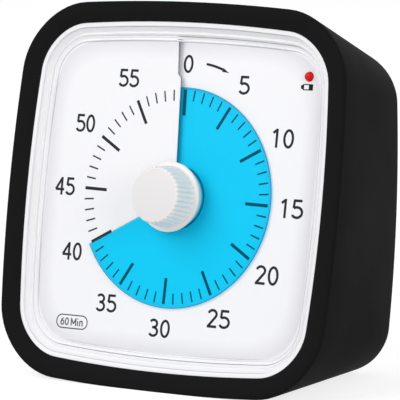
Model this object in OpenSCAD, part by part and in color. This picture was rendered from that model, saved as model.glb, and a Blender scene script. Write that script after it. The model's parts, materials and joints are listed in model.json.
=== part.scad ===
// Visual countdown timer: a 60-minute dial whose blue film shows the time that is left.
// Most pieces are drawn in the face frame (x right, y up the face, z out of the dial,
// z = 0 at the edge of the cover's front opening) and stood on the base by stand().

/* [Body] */
// Width and height over the middles of the front's sides
face_w = 78.9; // [76:0.1:84]
// Depth from the lip's crest to the back, on the centre line
body_depth = 36; // [34:0.5:42]
// Backward lean of the face, and slope of the base and top
lean = 10.5; // [8:0.5:12]
// Inward slope of the left and right sides
side_taper = 9.5; // [8:0.5:11]
// Forward tilt of the back against the face
back_tilt = 6.3; // [4:0.1:8]
// Corner radius of the front outline
front_corner_r = 13.3; // [11:0.1:15]
// Corner radius of the back outline
back_corner_r = 8.5; // [7.5:0.1:10]
// How far each side of the front bows out at its middle
front_bow = 1.85; // [1:0.05:2.2]
// How far each side of the back bows out at its middle
back_bow = 1.4; // [0.8:0.05:1.8]
// Depth of the flat that the base rests on
base_cut = 0.25; // [0.15:0.05:0.5]

/* [Cover] */
// Thickness of the silicone sleeve
cover_t = 1.6; // [1.2:0.1:1.8]
// Width of the lip round the front opening
front_lip_w = 4.25; // [3.6:0.05:4.4]
// Height of the lip's crest above the edge of the opening
lip_crest = 1; // [0.8:0.1:1.4]
// Width of the lip round the back opening
back_lip_w = 3.6; // [3.2:0.1:4]
// Thickness of the lip round the back opening
back_lip_t = 1.3; // [1:0.1:1.6]
// Gap between the sleeve and the case
cover_gap = 0.1; // [0.05:0.05:0.15]

/* [Case] */
// Wall thickness of both case halves
wall = 1.8; // [1.5:0.1:2]
// Depth of the joint between the halves behind the front opening
split_depth = 14; // [12:0.5:16]
// Height of the lap that locates the halves on each other
lap_h = 1.6; // [1.2:0.1:2]
// Play between parts that are put together by hand
fit_gap = 0.1; // [0.05:0.05:0.15]
// Thickness of the floor behind the dial
floor_t = 1.5; // [1.2:0.1:1.8]
// How far the back of the case stands proud of the cover's back lip
back_proud = 0.6; // [0.3:0.1:1]
// Diameter of a case screw boss
boss_d = 6; // [5.6:0.1:6.4]
// Shank diameter of a case screw
case_screw_d = 2.2; // [2:0.1:2.4]

/* [Rim] */
// Half width of the dial inside its raised border
dial_half_w = 30.3; // [29.8:0.05:30.6]
// Half height of the dial inside its raised border
dial_half_h = 29.9; // [29.4:0.05:30.2]
// Corner radius of the dial inside its raised border
dial_corner_r = 6.3; // [5:0.1:7]
// How far each side of the dial bows out at its middle
dial_bow = 1.4; // [0.8:0.05:1.6]
// Height of the raised border above the dial
border_h = 0.42; // [0.3:0.02:0.55]

/* [Dial and film] */
// Mean depth of the dial behind the front opening
dial_depth = 2.3; // [2.2:0.1:2.5]
// Rise of the dial once round, from one side of the slit to the other
dial_rise = 1.2; // [1.15:0.05:1.3]
// Thickness of the dial plate
dial_t = 0.5; // [0.4:0.05:0.55]
// How far the high side of the slit reaches over the low side
slit_lap = 0.3; // [0.2:0.05:0.4]
// Angle of the slit before twelve o'clock, out to the film's edge
slit_lag = 2.6; // [2:0.1:3]
// Angle of the slit before twelve o'clock, beyond the film's edge
slit_lag_outer = 4.9; // [4:0.1:6]
// Radius of the blue film
film_r = 22.3; // [21:0.1:23]
// Thickness of the blue film
film_t = 0.2; // [0.15:0.05:0.25]
// Height of the film over the dial
film_gap = 0.25; // [0.2:0.05:0.25]
// Share of a turn that the film covers, in degrees
film_sweep = 358; // [350:1:358]
// Minutes that the film shows at rest
rest_minutes = 40; // [5:1:55]
// Angle of the scale's zero after twelve o'clock
scale_zero = 1.3; // [0:0.1:2]
// Diameter of the hub that carries the film
hub_d = 12.2; // [11.6:0.1:12.4]
// Gap between the hub and the dial's centre hole
hub_gap = 0.4; // [0.3:0.05:0.5]
// Distance of the indicator light to the right of the dial's centre
light_x = 28.2; // [27.6:0.1:28.4]
// Height of the indicator light above the dial's centre
light_y = 25.7; // [25.2:0.1:25.8]
// Diameter of the indicator light
light_d = 1.9; // [1.8:0.1:2]

/* [Knob] */
// Diameter of the knob's flange
flange_d = 14.14; // [13.8:0.1:15]
// Gap between the dial and the flange, at the middle of the dial's rise
flange_lift = 2.2; // [2.1:0.1:2.6]
// Thickness of the flange
flange_t = 0.85; // [0.7:0.05:1]
// Diameter over the ribs at the flange
knob_root_d = 12.6; // [12.2:0.1:13]
// Diameter over the ribs at the shoulder
knob_tip_d = 11.5; // [11:0.1:12]
// Diameter of the knob's flat end
knob_face_d = 10.4; // [9.6:0.1:10.6]
// Height of the knob's end above the dial
knob_h = 8.25; // [7.5:0.25:10]
// Number of grip ribs
rib_count = 36; // [30:1:40]
// Depth of the grooves between the ribs
rib_depth = 0.28; // [0.2:0.02:0.34]
// Diameter of the knob's shaft
shaft_d = 3; // [2.8:0.1:3.2]
// Depth of the flat that keys the shaft
shaft_flat = 0.4; // [0.3:0.05:0.5]
// Radial running clearance of shafts in their holes
run_gap = 0.05; // [0.03:0.01:0.08]

/* [Movement] */
// Thickness of the movement's two plates
plate_t = 1.1; // [1:0.1:1.2]
// Depth of the space between the plates
train_h = 7.8; // [7.8:0.1:8.2]
// Thickness of the movement's side walls
housing_wall = 1; // [0.8:0.1:1.2]
// Tooth module of the centre wheel's mesh
centre_module = 0.3; // [0.28:0.01:0.3]
// Tooth module of the third wheel
third_module = 0.22; // [0.21:0.01:0.22]
// Tooth module of the fourth wheel
fourth_module = 0.2; // [0.19:0.01:0.2]
// Tooth module of the fifth wheel
fifth_module = 0.2; // [0.19:0.01:0.2]
// Tooth thickness as a share of the pitch
tooth_share = 0.4; // [0.36:0.01:0.42]
// Thickness of a wheel's rim
wheel_t = 0.6; // [0.5:0.05:0.7]
// Diameter of the wheels' fixed pins
pin_d = 0.8; // [0.7:0.05:0.9]
// Diameter of the rotor magnet
magnet_d = 4.8; // [4.4:0.1:5]

/* [Battery] */
// Diameter of an AA cell
cell_d = 14.2; // [13.7:0.1:14.4]
// Length of an AA cell's can
cell_l = 49.2; // [48.8:0.1:49.4]
// Room round the cell
cell_gap = 0.5; // [0.4:0.05:0.6]
// Height of the cell's axis below the middle of the back
cell_drop = 17.2; // [16.8:0.1:17.4]
// Thickness of the bay's inner walls
bay_wall = 1.8; // [1.4:0.1:2]
// Width of the battery door
door_w = 51.6; // [50.6:0.2:52.4]
// Height of the battery door
door_h = 17; // [16:0.2:17.4]
// Thickness of the battery door
door_t = 1.8; // [1.6:0.1:2]
// Play round the battery door
door_gap = 0.3; // [0.25:0.05:0.4]

/* [Electronics] */
// Thickness of the circuit board
board_t = 1.2; // [1:0.1:1.6]
// Height of the posts under the circuit board
board_post = 2.4; // [2:0.1:3]
// Diameter of the buzzer
buzzer_d = 12; // [10:0.5:12.5]
// Height of the buzzer
buzzer_h = 6; // [5:0.5:7]
// Travel of the sound switch
switch_travel = 3; // [2:0.25:3.5]

/* [Hidden] */
$fn = 48;
eps = 0.01;

// ---- Levels, as heights in the face frame -----------------------------------------

front_half = face_w / 2 - front_bow;
lip_z = lip_crest;
back_z = lip_z - body_depth;
// Gap between the front opening's edge and the case's rim under it
seat_z = -0.15;
dial_low = -dial_depth - dial_rise / 2;
// Room under the hub when the film is all behind the dial
hub_under = 0.25;
floor_z = dial_low + film_gap - dial_rise - 2 * hub_under;
floor_back = floor_z - floor_t;
split_z = -split_depth;
movement_z = floor_back - plate_t;
train_top = movement_z - plate_t;
train_bottom = train_top - train_h;
movement_end = train_bottom - plate_t;
board_z = floor_back - board_post;

// ---- Insets from the outer skin ---------------------------------------------------

case_inset = cover_t + cover_gap;
lap_inset = case_inset + wall / 2;
inner_inset = case_inset + wall;
back_lip_gap = 0.15;
back_face_inset = back_lip_w + back_lip_gap + 0.2;
// Rounding of the case's outer edges, and of the cover's edges over them
case_edge_r = 0.9;
lip_edge_r = 0.9;
back_edge_in = 1.9;
back_edge_up = 2.8;
// Shares of the way across the rim: the recess's wall and the dial plate's edge
recess_share = 0.665;
border_share = 0.715;

// ---- Fasteners --------------------------------------------------------------------

small_screw_d = 1.6;
small_head_d = 3;
small_head_h = 1;
small_screw_bite = 1;
ear_d = 5;
ear_t = 3;
post_d = 4;
case_head_d = 4.4;
case_head_h = 1.6;
case_screw_bite = 4;
screw_head_z = back_z + 6;

// ---- Outlines ------------------------------------------------------------------

side_steps = 6;
arc_steps = 7;
outline_n = 4 * (side_steps + arc_steps);
top_middle = side_steps / 2;

// A rounded rectangle, clockwise from its top left corner, with straight sides
function plain_outline(w, h, r) = [
    for (quarter = [0:3])
        let (turn = -90 * quarter,
             a = quarter % 2 == 0 ? w - r : h - r,
             b = quarter % 2 == 0 ? h : w)
        for (step = [0:side_steps + arc_steps - 1])
            let (on_side = step < side_steps,
                 swing = 90 - 90 * (step - side_steps) / arc_steps,
                 x = on_side ? a * (2 * step / side_steps - 1) : a + r * cos(swing),
                 y = on_side ? b : b - r + r * sin(swing))
            [x * cos(turn) - y * sin(turn), x * sin(turn) + y * cos(turn)]
];

// The same outline with every side bowed outwards
function outline(w, h, r, bow) = [
    for (p = plain_outline(w, h, r))
        [p.x * (1 + bow / w * (1 - pow(p.y / h, 2))), p.y * (1 + bow / h * (1 - pow(p.x / w, 2)))]
];

back_slope = tan(back_tilt);
back_half_w = face_w / 2 - body_depth * tan(side_taper) - back_bow;
// Where the sloping base and top meet the tilted back
back_low = (-face_w / 2 + body_depth * tan(lean)) / (1 + back_slope * tan(lean));
back_high = (face_w / 2 - body_depth * tan(lean)) / (1 - back_slope * tan(lean));
back_half_h = (back_high - back_low) / 2 - back_bow;
back_y = (back_high + back_low) / 2;

// Outline at the front, drawn in by inset, at any height
function front_ring(z, inset) = [
    for (p = outline(front_half - inset, front_half - inset, front_corner_r - inset, front_bow))
        [p.x, p.y, z]
];
// Outline on the tilted back
function back_outline(inset) = [
    for (p = outline(back_half_w - inset, back_half_h - inset, back_corner_r - inset, back_bow))
        [p.x, p.y + back_y, back_z + back_slope * (p.y + back_y)]
];
// Points on the straight lines from front to back, at heights from a list
function wall_points(heights, inset) =
    let (front = front_ring(lip_z, inset), back = back_outline(inset))
    [for (i = [0:outline_n - 1])
        let (t = (lip_z - heights[i]) / (lip_z - back[i].z))
        [front[i].x + t * (back[i].x - front[i].x), front[i].y + t * (back[i].y - front[i].y), heights[i]]];
function wall_ring(z, inset) = wall_points([for (i = [1:outline_n]) z], inset);
function back_ring(lift, inset) = wall_points([for (p = back_outline(inset)) p.z + lift], inset);

open_half = front_half - front_lip_w;
open_corner_r = front_corner_r - front_lip_w;
function mix(a, b, t) = a + t * (b - a);
// Outline across the rim: share 0 is the front opening, share 1 the edge of the dial
function rim_outline(share) = outline(mix(open_half, dial_half_w, share), mix(open_half, dial_half_h, share),
    mix(open_corner_r, dial_corner_r, share), mix(front_bow, dial_bow, share));
function rim_ring(z, share) = [for (p = rim_outline(share)) [p.x, p.y, z]];

// A closed skin through rings of equal length, with flat ends or joined end to end
module loft(rings, joined = false) {
    n = len(rings[0]);
    m = len(rings);
    points = [for (ring = rings) for (p = ring) p];
    sides = [for (j = [0:(joined ? m - 1 : m - 2)]) for (i = [0:n - 1])
        let (a = j * n + i, b = j * n + (i + 1) % n,
             c = ((j + 1) % m) * n + (i + 1) % n, d = ((j + 1) % m) * n + i)
        each [[a, b, c], [a, c, d]]];
    ends = joined ? [] : [[for (i = [n - 1:-1:0]) i], [for (i = [0:n - 1]) (m - 1) * n + i]];
    polyhedron(points = points, faces = concat(sides, ends), convexity = 8);
}

// ---- Frames --------------------------------------------------------------------

function row_y(p) = p.y * sin(lean) - p.z * cos(lean);
base_height = face_w / 2 * cos(lean) - lip_z * sin(lean) - base_cut;
back_face_lift = -back_proud;
front_most = min([for (p = front_ring(lip_z, lip_edge_r)) row_y(p)]);
back_most = max([for (p = back_ring(back_face_lift, back_face_inset)) row_y(p)]);
centre_shift = -(front_most + back_most) / 2;

// Face frame to the standing part
module stand() translate([0, centre_shift, base_height]) rotate([90 - lean, 0, 0]) children();
// Back frame to face frame: z out of the back, y up it, origin on the back's centre line
module on_back() translate([0, back_y, back_z + back_slope * back_y])
    rotate([back_tilt, 0, 0]) rotate([0, 180, 0]) children();

// ---- Cover ---------------------------------------------------------------------

function cover_rings() = [
    back_ring(0, back_lip_w),
    for (t = [0:30:90]) back_ring(back_edge_up * (1 - cos(t)), back_edge_in * (1 - sin(t))),
    for (t = [0:45:45]) wall_ring(lip_z - lip_edge_r * (1 - sin(t)), lip_edge_r * (1 - cos(t))),
    for (u = [0, 0.3, 0.78, 1]) front_ring(lip_z - lip_crest * u * u, mix(lip_edge_r, front_lip_w, u)),
    front_ring(seat_z, front_lip_w),
    wall_ring(seat_z, cover_t + case_edge_r),
    wall_ring(seat_z - case_edge_r * 0.3, cover_t + case_edge_r * 0.3),
    wall_ring(seat_z - case_edge_r, cover_t),
    back_ring(back_lip_t + case_edge_r, cover_t),
    back_ring(back_lip_t, cover_t + case_edge_r),
    back_ring(back_lip_t, back_lip_w)
];
module silicone_cover() color([0.12, 0.12, 0.125]) difference() {
    stand() loft(cover_rings(), joined = true);
    translate([-face_w / 2, -face_w / 2, -face_w]) cube(face_w);
}

// ---- Case ----------------------------------------------------------------------

// Section of the rim, from under the cover's lip to the dial's recess: how far across it
// is, and how deep as a share of the dial's depth
rim_profile = [[0.3, 0.22], [0.325, 0.3], [0.4, 0.5], [0.51, 0.7], [0.57, 0.775],
    [0.615, 0.75], [0.65, 0.805], [recess_share, 0.91]];
front_case_rings = [
    wall_ring(floor_back, inner_inset),
    wall_ring(split_z + lap_h + fit_gap, inner_inset),
    wall_ring(split_z + lap_h + fit_gap, lap_inset),
    wall_ring(split_z, lap_inset),
    wall_ring(split_z, case_inset),
    wall_ring(seat_z - case_edge_r, case_inset),
    wall_ring(seat_z - case_edge_r * 0.3, case_inset + case_edge_r * 0.3),
    wall_ring(seat_z, case_inset + case_edge_r),
    rim_ring(seat_z, 0.28),
    for (p = rim_profile) rim_ring(-dial_depth * p[1], p[0]),
    rim_ring(floor_z, recess_share)
];

// Screw bosses: two beside the battery bay, two at the top
boss_low = [25, -2.4];
boss_high = [17.6, 25.2];
boss_spots = [[boss_low.x, boss_low.y], [-boss_low.x, boss_low.y],
    [boss_high.x, boss_high.y], [-boss_high.x, boss_high.y]];
boss_split = split_z - 2;
module at_bosses() for (p = boss_spots) translate([p.x, p.y, 0]) children();

module front_case() color([0.97, 0.97, 0.98]) stand() difference() {
    union() {
        loft(front_case_rings);
        at_bosses() translate([0, 0, boss_split]) cylinder(d = boss_d, h = floor_back - boss_split + eps);
        at_movement_screws() translate([0, 0, floor_back - plate_t]) cylinder(d = ear_d, h = plate_t + eps);
        at_board_screws() translate([0, 0, board_z]) cylinder(d = post_d, h = board_post + eps);
    }
    translate([0, 0, floor_back - 1]) cylinder(d = shaft_d + 8 * fit_gap, h = floor_t + 2);
    translate([light_x, light_y, floor_back - 1]) cylinder(d = light_base_d + 2 * fit_gap, h = floor_t + 2);
    at_bosses() translate([0, 0, boss_split - 1]) cylinder(d = case_screw_d, h = case_screw_bite + 2);
    at_movement_screws() translate([0, 0, movement_z - 1]) cylinder(d = small_screw_d, h = plate_t + small_screw_bite);
    at_board_screws() translate([0, 0, board_z - 1]) cylinder(d = small_screw_d, h = board_post + small_screw_bite);
}

rear_case_rings = [
    back_ring(back_face_lift, back_face_inset),
    back_ring(0, back_lip_w + back_lip_gap),
    back_ring(back_lip_t + cover_gap, back_lip_w + back_lip_gap),
    back_ring(back_lip_t + cover_gap, case_inset + case_edge_r),
    back_ring(back_lip_t + cover_gap + case_edge_r, case_inset),
    wall_ring(split_z - fit_gap, case_inset),
    wall_ring(split_z - fit_gap, lap_inset + fit_gap),
    wall_ring(split_z + lap_h, lap_inset + fit_gap),
    wall_ring(split_z + lap_h, inner_inset),
    back_ring(wall - back_proud + case_edge_r, inner_inset),
    back_ring(wall - back_proud, inner_inset + case_edge_r)
];

// The bay is a tray across the lower back, open towards the door
cell_r = cell_d / 2;
contact_t = 0.4;
nub_d = 5.3;
nub_h = 1.3;
spring_room = 4;
nub_room = nub_h + contact_t + 0.05;
bay_half_w = (cell_l + spring_room + nub_room + contact_t) / 2;
cell_shift = (spring_room + contact_t - nub_room) / 2;
bay_half_h = cell_r + cell_gap;
door_face = back_proud;
back_inner = back_proud - wall;
cell_z = door_face - door_t - cell_gap - cell_r;
bay_floor_z = cell_z - cell_r - cell_gap;
door_y = -cell_drop;
slot_count = 6;
slot_pitch = 2.4;
slot_l = 13;
slot_h = 1.1;
grille_x = 9.5;
grille_y = 14.5;
switch_x = -11;
switch_y = 14.5;
switch_slot = [switch_travel + 5, 3.2];
dish_w = 1.6;
dish_depth = 0.5;

module rounded_plate(w, h, r, t) linear_extrude(t) hull()
    for (x = [-1, 1], y = [-1, 1]) translate([x * (w / 2 - r), y * (h / 2 - r)]) circle(r, $fn = 32);

module round_slot(l, w, t) linear_extrude(t) union() {
    square([l - w, w], center = true);
    for (x = [-1, 1]) translate([x * (l - w) / 2, 0]) circle(d = w);
}

module bay_block(grow, depth_grow) translate([0, door_y, 0])
    translate([-bay_half_w - grow, -bay_half_h - grow, bay_floor_z - depth_grow])
        cube([2 * (bay_half_w + grow), 2 * (bay_half_h + grow), -bay_floor_z + depth_grow - 0.4]);

module rear_case() color([0.97, 0.97, 0.98]) stand() difference() {
    union() {
        loft(rear_case_rings);
        intersection() {
            on_back() bay_block(bay_wall, bay_wall);
            inner_block();
        }
        rear_bosses();
    }
    on_back() {
        bay_block(0, 0);
        door_opening();
        translate([0, door_y, door_face - door_t]) door_hooks(door_gap);
        translate([grille_x, grille_y, 0]) grille_slots();
        translate([switch_x, switch_y, -wall - 1]) round_slot(switch_slot.x, switch_slot.y, wall + 3);
        translate([switch_x, switch_y, back_proud - dish_depth])
            rounded_plate(switch_slot.x + 2 * dish_w, switch_slot.y + 2 * dish_w, dish_w, 2);
    }
    at_bosses() translate([0, 0, back_z - boss_d]) cylinder(d = case_screw_d + 4 * fit_gap, h = body_depth);
    at_bosses() translate([0, 0, back_z - boss_d])
        cylinder(d = case_head_d + 6 * fit_gap, h = screw_head_z - back_z + boss_d);
}
module rear_bosses() intersection() {
    at_bosses() translate([0, 0, back_z - 8]) cylinder(d = boss_d, h = boss_split - fit_gap - back_z + 8);
    inner_block();
}
// The inside of the rear case, run a little into its walls
module inner_block() loft([
    back_ring(0.4, back_face_inset + 0.4),
    back_ring(back_lip_t + 0.5, back_face_inset + 0.4),
    back_ring(back_lip_t + case_edge_r + 0.5, inner_inset - 0.6),
    wall_ring(split_z + lap_h, inner_inset - 0.6)
]);
module grille_slots() for (i = [0:slot_count - 1])
    translate([0, (i - (slot_count - 1) / 2) * slot_pitch, -wall - 1])
        round_slot(slot_l - slot_pitch / 2 * abs(i - (slot_count - 1) / 2), slot_h, wall + 3);
module door_opening() translate([0, door_y, -door_t - 1.2])
    rounded_plate(door_w + 2 * door_gap, door_h + 2 * door_gap, door_corner_r + door_gap, door_t + 4);

// ---- Dial ----------------------------------------------------------------------

hole_r = hub_d / 2 + hub_gap;
// The slit is open as far as the jog; beyond it the two levels meet in a step
jog_r = film_r + 1.6;
jog_l = 1.2;
column_count = outline_n + 2;
function clockwise(p) = (atan2(p.x, p.y) + slit_lag + 720) % 360;
// Columns run clockwise from the low side of the slit to its high side
function column_index(j) = (j - 1 + top_middle) % outline_n;
function is_slit(j) = j == 0 || j == column_count - 1;
edge_points = rim_outline(1);
function column_turn(j) = j == 0 ? 0 : j == column_count - 1 ? 360 : clockwise(edge_points[column_index(j)]);
function slit_side(j, r) = (j == 0 ? 1 : -1) * (r < jog_r ? -slit_lap / 2 : eps);
function circle_point(j, r) = is_slit(j)
    ? let (lag = r < jog_r ? slit_lag : slit_lag_outer) [-r * sin(lag) + slit_side(j, r), r * cos(lag)]
    : let (p = edge_points[column_index(j)]) r * p / norm(p);
function rim_top(share) = mix(open_half, dial_half_h, share) + mix(front_bow, dial_bow, share);
function rim_point(j, share) = is_slit(j)
    ? [-rim_top(share) * tan(slit_lag_outer) + slit_side(j, rim_top(share)), rim_top(share)]
    : rim_outline(share)[column_index(j)];
function lifted(p, z) = [p.x, p.y, z];
function dial_column(j) = let (top = dial_low + dial_rise * column_turn(j) / 360, under = top - dial_t) [
    lifted(circle_point(j, hole_r), top),
    lifted(circle_point(j, jog_r - 0.1), top),
    lifted(circle_point(j, jog_r + jog_l), top),
    lifted(rim_point(j, 1), top),
    lifted(rim_point(j, 0.97), top + border_h * 0.45),
    lifted(rim_point(j, 0.84), top + border_h * 0.55),
    lifted(rim_point(j, 0.8), top + border_h),
    lifted(rim_point(j, border_share), top + border_h * 0.7),
    lifted(rim_point(j, border_share), floor_z),
    lifted(rim_point(j, 1), floor_z),
    lifted(rim_point(j, 1), under),
    lifted(circle_point(j, jog_r + jog_l), under),
    lifted(circle_point(j, jog_r - 0.1), under),
    lifted(circle_point(j, hole_r), under)
];
// A strip bent round an axis, closed at its two ends by the given triangles
module ribbon(columns, end_faces) {
    m = len(columns[0]);
    last = (len(columns) - 1) * m;
    points = [for (column = columns) for (p = column) p];
    sides = [for (j = [0:len(columns) - 2]) for (k = [0:m - 1])
        let (a = j * m + k, b = j * m + (k + 1) % m, c = (j + 1) * m + (k + 1) % m, d = (j + 1) * m + k)
        each [[a, c, b], [a, d, c]]];
    first_end = [for (f = end_faces) [f[0], f[1], f[2]]];
    last_end = [for (f = end_faces) [last + f[0], last + f[2], last + f[1]]];
    polyhedron(points = points, faces = concat(sides, first_end, last_end), convexity = 8);
}
dial_ends = [[0, 1, 12], [0, 12, 13], [1, 2, 11], [1, 11, 12], [2, 3, 10], [2, 10, 11],
    [3, 4, 8], [4, 5, 8], [5, 6, 8], [6, 7, 8], [3, 8, 10], [10, 8, 9]];
// The step between the two levels, from the jog out to the border's edge
step_t = 0.6;
module step_bar(y0, y1, z0, z1) translate([0, 0, z0]) linear_extrude(z1 - z0)
    polygon([for (p = [[y0, -1], [y1, -1], [y1, 1], [y0, 1]])
        [-p[0] * tan(slit_lag_outer) + p[1] * step_t / 2, p[0]]]);
module dial_step() {
    step_bar((jog_r + jog_l) * cos(slit_lag_outer) + step_t / 4, rim_top(1) + step_t / 2,
        dial_low - dial_t, dial_low + dial_rise - 2 * eps);
    step_bar(rim_top(1), rim_top(border_share) - eps, floor_z, dial_low + dial_rise + border_h * 0.4);
}
module dial_plate() color([0.98, 0.98, 0.99]) stand() difference() {
    union() {
        ribbon([for (j = [0:column_count - 1]) dial_column(j)], dial_ends);
        dial_step();
    }
    translate([light_x, light_y, floor_z - 1]) cylinder(d = light_d + 0.3, h = 6);
}

// ---- Film and hub --------------------------------------------------------------

film_lead = rest_minutes * 6 + scale_zero + slit_lag;
film_tail = film_lead - film_sweep;
film_steps = 60;
function film_z(turn) = dial_low + film_gap + dial_rise * turn / 360;
film_root_r = hub_d / 2 - 0.4;
function film_column(j) = let (turn = film_tail + film_sweep * j / film_steps, a = 90 + slit_lag - turn,
    z = film_z(turn), way = [cos(a), sin(a)]) [
    lifted(film_root_r * way, z + film_t),
    lifted(film_r * way, z + film_t),
    lifted(film_r * way, z),
    lifted(film_root_r * way, z)
];
module timer_disc() color([0.09, 0.8, 1, 0.85]) stand()
    ribbon([for (j = [0:film_steps]) film_column(j)], [[0, 1, 2], [0, 2, 3]]);

hub_bottom = film_z(film_tail) - hub_under;
hub_top = film_z(film_lead) + film_t + 0.25;
module keyed_rod(d, z0, z1) translate([0, 0, z0]) difference() {
    cylinder(d = d, h = z1 - z0);
    translate([-d, d / 2 - shaft_flat, -1]) cube([2 * d, d, z1 - z0 + 2]);
}
module disc_hub() color([0.9, 0.9, 0.92]) stand() difference() {
    translate([0, 0, hub_bottom]) cylinder(d = hub_d, h = hub_top - hub_bottom);
    difference() {
        translate([0, 0, hub_bottom - 1]) cylinder(d = shaft_d + 2 * run_gap, h = hub_top - hub_bottom + 2);
        translate([-shaft_d, shaft_d / 2 - shaft_flat + run_gap, hub_bottom - 2])
            cube([2 * shaft_d, shaft_d, hub_top - hub_bottom + 4]);
    }
}

// ---- Knob ----------------------------------------------------------------------

knob_back = flange_lift - dial_depth;
knob_front = knob_h - dial_depth;
knob_shoulder = knob_front - 1;
rib_points = 5;
function rib_ring(z, d, depth) = [
    for (i = [0:rib_count * rib_points - 1])
        let (a = -360 * i / (rib_count * rib_points), phase = (i % rib_points) / rib_points,
             r = d / 2 - depth * pow(abs(2 * phase - 1), 2))
        [r * cos(a), r * sin(a), z]
];
knob_rings = [
    rib_ring(knob_back + flange_t - 0.1, knob_root_d, rib_depth),
    rib_ring(knob_shoulder, knob_tip_d, rib_depth),
    rib_ring(knob_front - 0.35, mix(knob_tip_d, knob_face_d, 0.35), rib_depth * 0.7),
    rib_ring(knob_front - 0.08, mix(knob_tip_d, knob_face_d, 0.8), rib_depth * 0.25),
    rib_ring(knob_front, knob_face_d, 0)
];
knob_skin = 1.2;
knob_boss_d = shaft_d + 2.6;
flange_r = flange_d / 2;
knob_roof = knob_front - knob_skin;
shaft_top = knob_front - knob_skin - 1;
module setting_knob() color([0.93, 0.93, 0.93]) stand() difference() {
    union() {
        difference() {
            union() {
                loft(knob_rings);
                rotate_extrude() polygon([[0, knob_back], [flange_r - 0.25, knob_back], [flange_r, knob_back + 0.2],
                    [flange_r, knob_back + flange_t - 0.35], [flange_r - 0.35, knob_back + flange_t], [0, knob_back + flange_t]]);
            }
            translate([0, 0, knob_back - 1])
                cylinder(d1 = knob_root_d - 2.4, d2 = knob_tip_d - 2.4, h = knob_roof - knob_back + 1);
        }
        translate([0, 0, knob_back]) cylinder(d = knob_boss_d, h = knob_roof - knob_back + 0.2);
        for (i = [0:3]) rotate([0, 0, 45 + 90 * i]) translate([knob_boss_d / 2 - 0.4, -0.4, knob_back + 0.5])
            cube([knob_tip_d / 2 - knob_boss_d / 2 - 0.6, 0.8, knob_roof - knob_back - 0.4]);
    }
    keyed_rod(shaft_d, knob_back - 1, shaft_top);
}

// ---- Movement ------------------------------------------------------------------

centre_teeth = 48;
third_leaves = 12;
third_teeth = 60;
fourth_teeth = 64;
fifth_teeth = 60;
leaves = 8;
third_at = (centre_teeth + third_leaves) / 2 * centre_module * [cos(205), sin(205)];
fourth_at = third_at + (third_teeth + leaves) / 2 * third_module * [cos(-55), sin(-55)];
fifth_at = fourth_at + (fourth_teeth + leaves) / 2 * fourth_module * [cos(10), sin(10)];
rotor_at = fifth_at + (fifth_teeth + leaves) / 2 * fifth_module * [cos(28), sin(28)];

collar_z = train_top - 0.3;
collar_t = 0.6;
centre_z = collar_z - collar_t - 0.05;
centre_t = 0.8;
centre_hub_h = 0.5;
third_z = train_top - 3.8;
fourth_z = third_z - 1.3;
fifth_z = fourth_z - 1.4;
spring_z = centre_z - centre_t - centre_hub_h;
spring_h = 0.55;
clip_z = spring_z - spring_h - 0.05;
clip_t = 0.5;

// Straight-sided teeth, drawn clockwise; turn points the middle of a tooth along x
module gear(teeth, pitch_module, z, t, turn = 0) {
    pitch_r = teeth * pitch_module / 2;
    tip = pitch_r + 0.9 * pitch_module;
    root = pitch_r - 1.15 * pitch_module;
    step = 360 / teeth;
    at_pitch = step * tooth_share / 2;
    at_root = at_pitch * 1.3;
    at_tip = at_pitch * 0.45;
    translate([0, 0, z - t]) rotate([0, 0, turn]) linear_extrude(t) polygon([
        for (i = [0:teeth - 1]) each [
            root * [cos(i * step - at_root), sin(i * step - at_root)],
            pitch_r * [cos(i * step - at_pitch), sin(i * step - at_pitch)],
            tip * [cos(i * step - at_tip), sin(i * step - at_tip)],
            tip * [cos(i * step + at_tip), sin(i * step + at_tip)],
            pitch_r * [cos(i * step + at_pitch), sin(i * step + at_pitch)],
            root * [cos(i * step + at_root), sin(i * step + at_root)]]
    ]);
}
function bearing(from, to) = atan2(to.y - from.y, to.x - from.x);
// Each wheel has a tooth on the line of centres, and the pinion that it drives a gap
function gap_turn(leaf_count, line) = line + 180 + 180 / leaf_count;

module wheel_and_pinion(teeth, wheel_module, wheel_z, wheel_turn, leaf_count, pinion_module, pinion_top, pinion_turn)
    difference() {
        union() {
            gear(teeth, wheel_module, wheel_z, wheel_t, wheel_turn);
            gear(leaf_count, pinion_module, pinion_top, pinion_top - wheel_z + eps, pinion_turn);
            translate([0, 0, wheel_z - wheel_t - 0.3]) cylinder(d = 2, h = 0.3 + eps);
        }
        translate([0, 0, wheel_z - wheel_t - 1]) cylinder(d = pin_d + 2 * run_gap, h = pinion_top - wheel_z + wheel_t + 2);
    }

module centre_wheel() color([0.95, 0.93, 0.85]) stand() difference() {
    union() {
        gear(centre_teeth, centre_module, centre_z, centre_t, bearing([0, 0], third_at));
        translate([0, 0, centre_z - centre_t - centre_hub_h]) cylinder(d = 5.2, h = centre_hub_h + eps);
    }
    translate([0, 0, centre_z - 4]) cylinder(d = shaft_d + 2 * run_gap, h = 6);
    for (i = [0:4]) rotate([0, 0, 72 * i]) translate([4.5, 0, centre_z - 3]) cylinder(d = 2.4, h = 6);
}
module third_wheel() color([0.95, 0.93, 0.85]) stand() translate([third_at.x, third_at.y, 0])
    wheel_and_pinion(third_teeth, third_module, third_z, bearing(third_at, fourth_at),
        third_leaves, centre_module, centre_z + 0.2, gap_turn(third_leaves, bearing([0, 0], third_at)));
module fourth_wheel() color([0.95, 0.93, 0.85]) stand() translate([fourth_at.x, fourth_at.y, 0])
    wheel_and_pinion(fourth_teeth, fourth_module, fourth_z, bearing(fourth_at, fifth_at),
        leaves, third_module, third_z + 0.2, gap_turn(leaves, bearing(third_at, fourth_at)));
module fifth_wheel() color([0.95, 0.93, 0.85]) stand() translate([fifth_at.x, fifth_at.y, 0])
    wheel_and_pinion(fifth_teeth, fifth_module, fifth_z, bearing(fifth_at, rotor_at),
        leaves, fourth_module, fourth_z + 0.2, gap_turn(leaves, bearing(fourth_at, fifth_at)));

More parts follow.
